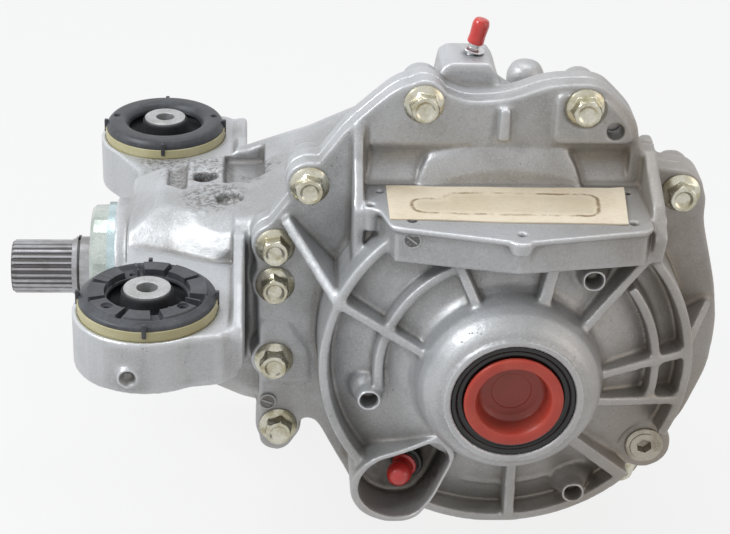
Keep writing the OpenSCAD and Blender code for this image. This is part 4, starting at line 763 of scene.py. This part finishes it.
def boltGrid(b):
    flat, top, wide = b["acrossFlats"] / 2, b["headTop"], b["flange"]
    corner, low = flat / math.cos(math.pi / 6), top - b["dish"]
    thread, end = b["threadR"], b["threadEnd"]
    rows = np.array([
        (0, low, 0), (3.6, low, 0), (4.6, top - b["dish"] * 0.85, 0), (5.6, top - 0.1, 0), (6.0, top, 0),
        (flat - 0.7, top, 0.15), (flat - 0.1, top - 0.25, 0.5), (flat + 0.3, top - 0.8, 0.9),
        (corner, top - 1.7, 1), (corner, top - 3, 1), (corner, 5.2, 1), (corner, 4.0, 1),
        (corner + 0.3, 3.5, 0.6), (9.6, 3.1, 0.15), (10.6, 2.6, 0), (wide - 0.5, 1.8, 0), (wide, 1.4, 0),
        (wide, 0.3, 0), (wide - 0.3, 0, 0), (thread, 0, 0), (thread, -0.6, 0), (thread, end + 1, 0),
        (thread - 0.8, end, 0), (0, end, 0)])
    return hexagonal(rows, lambda r, away: np.minimum(np.maximum(r, flat), flat / np.cos(away)))


oneBolt = boltGrid(coverBolt)
boltGrids = [placed(oneBolt, turns["near"] @ spun(turn), (x, -coverBolt["seat"], z))
             for (x, z), turn in zip(coverBolt["places"], coverBolt["turns"])]
makePiece("coverBoltSet", ["cover_bolts"], "root", "zinc_bolt", boltGrids, sharp=35.0)
print("bolts made")

# The two rubber bushes: sleeve, rubber, shell and stop

bush = {
    "reach": -215.0,
    "spacing": 250.0,
    "top": 52.5,             # height of the sleeve tops over the axle line
    "holeR": 6.25,
    "sleeveR": 14.0,
    "sleeveLength": 58.0,
    "collarR": 41.4,
    "boreR": 41.0,
    "innerR": 38.5,
    "collarTop": -7.5,
    "eyeTop": -13.5,
    "shellEnd": -44.5,
    "stopTop": -1.5,
    "stopR": 40.2,
    "blocks": ((70, 96), (125, 158), (164, 196), (203, 241), (249, 276), (289, 326), (351, 387), (393, 423)),
    "thinRibs": (105, 147, 241, 303, 337),
    "nearHoles": ((221, 29.7), (318, 29.0), (111, 28.0)),
    "farHoles": ((172, 34.0), (8, 34.0)),
}


def sleeveGrid(b):
    hole, sleeve, low = b["holeR"], b["sleeveR"], -b["sleeveLength"]
    return turned(eased([(hole, 0), (sleeve, 0), (sleeve, low), (hole, low)], 0.7, True), 96)


def rubberGrid(b):
    inner, outer = b["sleeveR"], b["innerR"] - 0.02
    corners = [(inner + 0.02, -56), (inner + 3, -56), (inner + 8, -41.5), (outer, -43.5), (outer, -7.9),
               (33.0, -7.9), (29.0, -11.5), (24, -13.2), (inner + 4.5, -13), (inner + 2.2, -9),
               (inner + 1.4, -1.6), (inner + 0.02, -1.2)]
    return turned(eased(corners, 2.0, True), 96)


def shellGrid(b):
    bore, inner, collar = b["boreR"], b["innerR"], b["collarR"]
    corners = [(inner, b["shellEnd"]), (bore, b["shellEnd"]), (bore, b["eyeTop"]), (collar, b["eyeTop"]),
               (collar, b["collarTop"]), (inner, b["collarTop"])]
    return turned(eased(corners, 0.6, True), 120)


def window(value, low, high, soft):  # 1 between low and high, falling to 0 over a soft border
    return easeStep(low - soft, low, value) * (1 - easeStep(high, high + soft, value))


def holeDistance(r, angle, degrees, radius):  # from the middle of a hole at that angle and radius
    x, y = radius * math.cos(math.radians(degrees)), radius * math.sin(math.radians(degrees))
    return np.hypot(r * np.cos(angle) - x, r * np.sin(angle) - y)


def nearStopTop(r, h, angle):
    # Height of the near stop's top: a shallow bowl with blocks, thin ribs and drilled holes
    b = bush
    degrees = np.degrees(angle)
    top = (h > -5.9) & (r < b["stopR"] - 0.5)
    bowl = -5.8 + 3.0 * easeStep(32.5, 36.2, r) - 0.62 * np.maximum(r - 36.2, 0)
    raised = np.zeros_like(r + angle)
    for low, high in b["blocks"]:
        inside = np.maximum(window(degrees, low, high, 1.6), window(degrees, low - 360, high - 360, 1.6))
        raised = np.maximum(raised, inside * window(r, 25.4, 35.2, 0.7))
    height = bowl + (b["stopTop"] - bowl) * raised * 0.96
    for middle in b["thinRibs"]:
        off = (degrees - middle + 180) % 360 - 180
        rib = (1 - easeStep(1.1, 2.0, np.abs(off))) * window(r, 24.8, 34.2, 0.5)
        height = np.maximum(height, bowl + (b["stopTop"] - bowl) * rib)
    for hole in b["nearHoles"]:
        near = holeDistance(r, angle, *hole)
        height = np.where(near < 3.3, np.minimum(height, -3.0), height)
        height = height - 2.6 * (1 - easeStep(1.6, 2.1, near))
    return r + angle * 0, np.where(top, height, h + angle * 0)


def farStopTop(r, h, angle):  # the far stop's top is smooth, with two holes
    for hole in bush["farHoles"]:
        h = h - 3.0 * (1 - easeStep(1.7, 2.2, holeDistance(r, angle, *hole))) * (h > -5.5)
    return r + angle * 0, h + angle * 0


def stopClips(b):  # clips that hold the stop to the collar
    grids = []
    for turn in (0, 90, 180, 270):
        block = blockGrid((2.6, 2.6, 9.0), (b["collarR"] - 0.4, 0, b["collarTop"] + 0.6))
        grids.append(block @ spun(turn).T)
    return grids


def makeBush(b, side, name):
    origin = (b["reach"], side * b["spacing"] / 2, b["top"])
    where = lambda grid: placed(grid, turns["up"], origin)
    for part, slot, grid in (("sleeve", "sleeve_steel", sleeveGrid(b)),
                             ("rubber", "bush_rubber", rubberGrid(b)),
                             ("shell", "collar_plastic", shellGrid(b))):
        node = name + "_bush_" + part
        makePiece(name + "Bush" + part.capitalize(), [node], "root", slot, [where(grid)], True)
    wide, top, low = b["stopR"], b["stopTop"], b["collarTop"]
    if name == "near":
        rim = [(wide + 0.5, low), (wide + 0.4, low + 1.4), (wide - 0.1, low + 2.2)]
        across = np.stack([np.linspace(wide - 0.6, 24.2, 52), np.full(52, -4.0)], 1)
        profile = np.concatenate([rim, across, [(23.8, -6.6), (23.8, low)]])
        body = turned(profile, 360, nearStopTop)
    else:
        corners = [(wide + 0.5, low), (wide + 0.4, top - 3.6), (wide - 1.6, top - 0.8), (36.6, top),
                   (30.0, top), (27.6, top - 0.9), (25.6, top - 3.4), (25.0, low)]
        smooth = eased(corners, 2.0, steps=7)
        fine = np.linspace(0, len(smooth) - 1, 90)
        profile = np.stack([np.interp(fine, np.arange(len(smooth)), smooth[:, k]) for k in (0, 1)], 1)
        body = turned(profile, 240, farStopTop)
    node, clips = name + "_bush_stop", [where(grid) for grid in stopClips(b)]
    makePiece(name + "BushStop", [node], "root", "stop_plastic", [where(body)], True, 42.0)
    makePiece(name + "BushClips", [node], "root", "stop_plastic", clips, sharp=60.0)


makeBush(bush, -1, "near")
makeBush(bush, 1, "far")
print("bushes made")

# Output seals and their dished caps

output = {
    "nearFace": 169.0,
    "farFace": 118.0,
    "sealR": 36.9,
    "holeR": 27.0,
    "rim": 29.5,
    "dish": 13.0,            # depth of the cap's dish
}


def sealGrid(o):
    hole, seal = o["holeR"], o["sealR"]
    corners = [(hole + 2, -10), (seal, -10), (seal, -0.9), (seal - 0.9, -0.1), (seal - 2.4, -0.1),
               (seal - 3.4, -1.2), (33.4, -1.4), (32.6, -2.0), (31.4, -1.4), (30.4, -1.5), (hole, -3.2),
               (hole, -5), (hole + 1.6, -6)]
    return turned(eased(corners, 0.6, True), 128)


def capGrid(o):
    hole, rim, low = o["holeR"], o["rim"], -o["dish"]
    corners = [(0, low - 0.7), (hole - 1.4, low - 0.7), (hole - 0.1, -8), (hole - 0.1, -2), (rim, -1.0),
               (rim, 1.0), (rim - 1.4, 1.9), (24.6, 1.9), (22.6, 1.2), (21.4, -1.5), (20.2, low + 2.4),
               (17.5, low + 0.3), (12, low), (11.4, low + 0.35), (10.8, low), (0, low)]
    return turned(eased(corners, 1.1, steps=5), 128)


for name, face in (("near", 1 - output["nearFace"]), ("far", output["farFace"] - 1)):
    seal, cap = (placed(grid(output), turns[name], (0, face, 0)) for grid in (sealGrid, capGrid))
    makePiece(name + "OutputSeal", [name + "_output_seal"], "root", "seal_rubber", [seal], True)
    makePiece(name + "OutputCap", [name + "_output_cap"], "root", "orange_plastic", [cap])
print("outputs made")

# Vent on the tower, and the port in the cover's pocket

vent = {
    "place": (-25.3, -40.0, 154.0),
    "lean": 14.0,
    "seat": 14.0,            # from the leaning axis's start up to the tower's top
    "tubeR": 3.6,
    "capR": 5.2,
}


def makeVent(v):
    turn = leaning(v["lean"])
    r, s, cap = v["tubeR"], v["seat"], v["capR"]
    tube = [(r - 1, s - 12), (r, s - 12), (r, s + 1.6), (r + 2.4, s + 1.9), (r + 3.6, s + 2.4),
            (r + 3.6, s + 3.2), (r + 2.2, s + 3.6), (r, s + 4.2), (r, s + 14), (r - 1, s + 14)]
    sheath = [(0, s + 16), (r + 0.05, s + 15.9), (r + 0.05, s + 7), (cap - 0.3, s + 7), (cap, s + 8),
              (cap - 0.3, s + 12), (cap + 0.1, s + 19.5), (cap - 1.0, s + 22.6), (0, s + 23.4)]
    tube = placed(turned(eased(tube, 0.35, True), 64), turn, v["place"])
    sheath = placed(turned(eased(sheath, 1.2, steps=5), 64), turn, v["place"])
    makePiece("ventTube", ["vent_tube"], "root", "tube_steel", [tube], True)
    makePiece("ventCap", ["vent_cap"], "root", "red_plastic", [sheath])


makeVent(vent)

port = {
    "place": (-54.0, -106.0, -78.0),
    "turn": -22.0,           # degrees that the port is turned about z, away from straight to -Y
    "capR": 7.9,
}


def makePort(p):
    turn = spun(p["turn"]) @ turns["near"]
    r = p["capR"]
    fitting = [(0, -8), (5, -8), (5, 4.5), (10.5, 4.5), (10.5, 7.4), (9.9, 8), (8.6, 8), (8.3, 10),
               (6.5, 10), (6.1, 9.2), (4, 9.2), (4, 20), (3.2, 20), (2, 19), (2, 9), (0, 9)]
    cap = [(0, 20.6), (4.06, 20.4), (4.06, 10.5), (r, 10.5), (r, 11.6), (r - 2.0, 12.4), (r - 1.9, 16.0),
           (r - 0.2, 19.0), (r, 22.0), (r - 1.6, 26.6), (r - 4.4, 28.9), (0, 29.4)]
    fitting = placed(turned(eased(fitting, 0.35), 72), turn, p["place"])
    cap = placed(turned(eased(cap, 1.9, steps=6), 72), turn, p["place"])
    makePiece("portFitting", ["port_fitting"], "root", "dark_steel", [fitting])
    makePiece("portCap", ["port_cap"], "root", "red_plastic", [cap])


makePort(port)
print("vent and port made")

# Plain dial marks cast beside the pad and on the flange: a ring with a slot across it

dial = {
    "places": ((-61.2, -138.2, 91.0, -12.7, -35.0),     # x, y, z, turn of the face, turn of the slot
               (-143.6, -83.2, -52.2, 0.0, -20.0)),
    "outerR": 5.6,
    "lineWide": 1.2,
    "proud": 0.7,
    "sunk": 1.2,             # depth of the ring and the slot in the casting
    # darker tones for the floor inside the dial marks
    "darkerFloor": dict(castMetal, pale=rgb(112, 110, 108), dull=rgb(92, 90, 88)),
}


def makeDials(d):
    outer, wide, top, low = d["outerR"], d["lineWide"], d["proud"], -d["sunk"]
    line = [(outer - wide, low), (outer, low), (outer, top), (outer - wide, top)]
    ring = turned(eased(line, 0.3, True), 72)
    slot = blockGrid((2 * outer - 3.2, wide, top - low), (0, 0, top / 2 - 0.6), 0.3, 20)
    inner = outer - 0.3
    ground = turned(eased([(0, -1.0), (inner, -1.0), (inner, 0.2), (0, 0.25)], 0.2), 72)
    darkerFloor = castMaterial("dialFloor", d["darkerFloor"])
    for number, (x, y, z, turn, slotTurn) in enumerate(d["places"]):
        for name, grid, material in (("dialRing", ring, coverMetal),
                                     ("dialSlot", slot @ spun(slotTurn).T, coverMetal),
                                     ("dialFloor", ground, darkerFloor)):
            grids = [placed(grid, spun(turn) @ turns["near"], (x, y, z))]
            makePiece(name + str(number), ["side_cover"], "root", "cover_aluminium", grids, grid is ring,
                      material=material)


makeDials(dial)
print("dial marks made")

# Screw plugs with a hexagon socket

plug = {
    "threadR": 9.0,
    "collarR": 12.0,
    "socketFlats": 8.2,
    "fillerPlace": (92.0, -115.0, -64.0),
    "drainPlace": (30.0, 2.0, -118.0),
}


def plugGrid(p):
    flat, wide, thread = p["socketFlats"] / 2, p["collarR"], p["threadR"]
    rows = np.array([
        (0, -5.4, 0), (flat * 0.7, -4.7, 0.3), (flat, -4.4, 1), (flat, -3, 1), (flat, 1.6, 1),
        (flat + 0.25, 2.15, 0.8), (flat + 0.9, 2.45, 0.2), (6.2, 2.5, 0), (8.4, 2.5, 0), (8.9, 2.3, 0),
        (9.2, 1.7, 0), (9.6, 1.55, 0), (10.6, 1.6, 0), (11.6, 1.5, 0), (wide, 1.1, 0), (wide, 0, 0),
        (thread, 0, 0), (thread, -11, 0), (thread - 1, -12, 0), (0, -12, 0)])
    return hexagonal(rows, lambda r, away: r / np.cos(away))


for name, node, turn, spot in (("fillerPlug", "filler_plug", turns["near"] @ spun(11), plug["fillerPlace"]),
                               ("drainPlug", "drain_plug", turns["down"] @ spun(20), plug["drainPlace"])):
    makePiece(name, [node], "root", "plug_steel", [placed(plugGrid(plug), turn, spot)], sharp=40.0)

# Card that covers the pad, with the outline that oil has left on it

card = {
    "corners": ((-74, -130.5), (64, -136), (69, -88), (-74, -86)),  # front left and right, back right and left
    "height": 100.0,
    "thick": 0.8,
    "fresh": rgb(238, 223, 198),
    "aged": rgb(224, 206, 178),
    "oil": rgb(206, 190, 162),
    "ring": rgb(132, 106, 72),
    "fibre": 900.0,
    "across": (143.0, 46.0),     # millimetres along and across the sheet
    "stains": ((68.0, 54.0, 19.0, 9.5), (80.0, 46.0, 23.0, 14.0)),  # middle and half size, along and across
    "round": 8.0,                # radius of their corners
    "grid": (24, 72),            # rows and columns of points
    "under": 0.05,               # gap between sheet and pad
    "curl": 0.7,
}


def cardFinish(c):
    mat, wire, shader = startMaterial("cardFinish")
    where = wire.place()
    sheet = wire.node("ShaderNodeUVMap", {"uv_map": "cardMap"})
    wander = wire.noise(where, 110.0, 3.0, 0.6)
    u = wire.axis(sheet, "X") * c["across"][0] + (wander - 0.5) * 3.0
    v = wire.axis(sheet, "Y") * c["across"][1] + (wire.noise(where, 90.0, 3.0, 0.6) - 0.5) * 3.0
    gaps, corner = [], c["round"]
    for uMiddle, uHalf, vMiddle, vHalf in c["stains"]:
        # distance to a rectangle with rounded corners, from its nearest side or corner, below zero inside it
        du = wire.maths("ABSOLUTE", u - uMiddle) - (uHalf - corner)
        dv = wire.maths("ABSOLUTE", v - vMiddle) - (vHalf - corner)
        outer = wire.length(wire.maths("MAXIMUM", du, 0.0), wire.maths("MAXIMUM", dv, 0.0))
        gaps.append(outer + wire.maths("MINIMUM", wire.maths("MAXIMUM", du, dv), 0.0) - corner)
    inside = wire.maths("MINIMUM", *gaps)
    line = 1 - wire.maths("ABSOLUTE", inside).ramp(0.3, 1.8)
    wet = 1 - inside.ramp(-6.0, 0.6)
    blotch = wire.noise(where, 70.0, 5.0, 0.65)
    along = wire.node("ShaderNodeMapping", {}, {"Vector": where, "Scale": (0.35, 1.0, 1.0)})
    fibre = wire.noise(along, c["fibre"], 3.0, 0.6)
    colour = wire.mix(wire.noise(where, 26.0, 4.0).ramp(0.35, 0.7), c["fresh"], c["aged"])
    colour = wire.mix(wet * (0.35 + blotch * 0.5), colour, c["oil"])
    colour = wire.mix(line * blotch.ramp(0.38, 0.62) * 0.9, colour, c["ring"])
    colour = wire.mix((fibre - 0.5).ramp(0.0, 0.25) * 0.18, colour, c["ring"])
    feed(shader, {"Base Color": colour, "Roughness": 0.88 - wet * 0.16,
                  "Normal": wire.bump(fibre, 0.4, 0.0002)})
    return mat


def makeCard(c):
    # Sheet by bilinear blend of the four corners, lifted by a slow wave and a curl at the right end
    rows, columns = c["grid"]
    u, v = np.meshgrid(np.linspace(0, 1, columns), np.linspace(0, 1, rows))
    corners = np.array(c["corners"], float)
    flat = (corners[0] * ((1 - u) * (1 - v))[..., None] + corners[1] * (u * (1 - v))[..., None]
            + corners[2] * (u * v)[..., None] + corners[3] * ((1 - u) * v)[..., None])
    flat[..., 1] += 0.5 * np.sin(u * 9) * (v < 0.03) + 0.4 * np.sin(u * 7 + 1) * (v > 0.97)
    lift = 0.12 * np.sin(u * 7 + v * 2) ** 2 + c["curl"] * easeStep(0.93, 1.0, u) * (0.3 + 0.7 * v)
    base = c["height"] + c["under"]
    top = np.concatenate([flat, (base + c["thick"] + lift)[..., None]], -1)
    low = np.concatenate([flat, (base + lift * 0.95)[..., None]], -1)
    points = np.concatenate([top.reshape(-1, 3), low.reshape(-1, 3)])
    i = np.arange(rows - 1)[:, None] * columns + np.arange(columns - 1)[None, :]
    n = rows * columns
    quads = np.stack([i, i + 1, i + columns + 1, i + columns], -1).reshape(-1, 4)
    rim = np.concatenate([np.arange(columns), np.arange(1, rows) * columns + columns - 1,
                          (rows - 1) * columns + np.arange(columns - 2, -1, -1),
                          np.arange(rows - 2, 0, -1) * columns])
    after = np.roll(rim, -1)
    sides = np.stack([rim, rim + n, after + n, after], -1)
    mesh = bpy.data.meshes.new("padCard")
    faces = np.concatenate([quads, quads[:, ::-1] + n, sides])
    mesh.from_pydata(fromDrive(points).tolist(), [], faces.tolist())
    uv = mesh.uv_layers.new(name="cardMap")
    loops = np.empty(len(mesh.loops), np.int64)
    mesh.loops.foreach_get("vertex_index", loops)
    both = np.stack([u.ravel(), v.ravel()], 1)
    uv.data.foreach_set("uv", np.tile(both, (2, 1))[loops].astype(np.float32).ravel())
    smoothFaces(mesh, 50)
    mesh.materials.append(cardFinish(c))
    piece = linked("padCard", mesh)
    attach(piece, "root")
    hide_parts("pad_card")


makeCard(card)
print("plugs and card made")
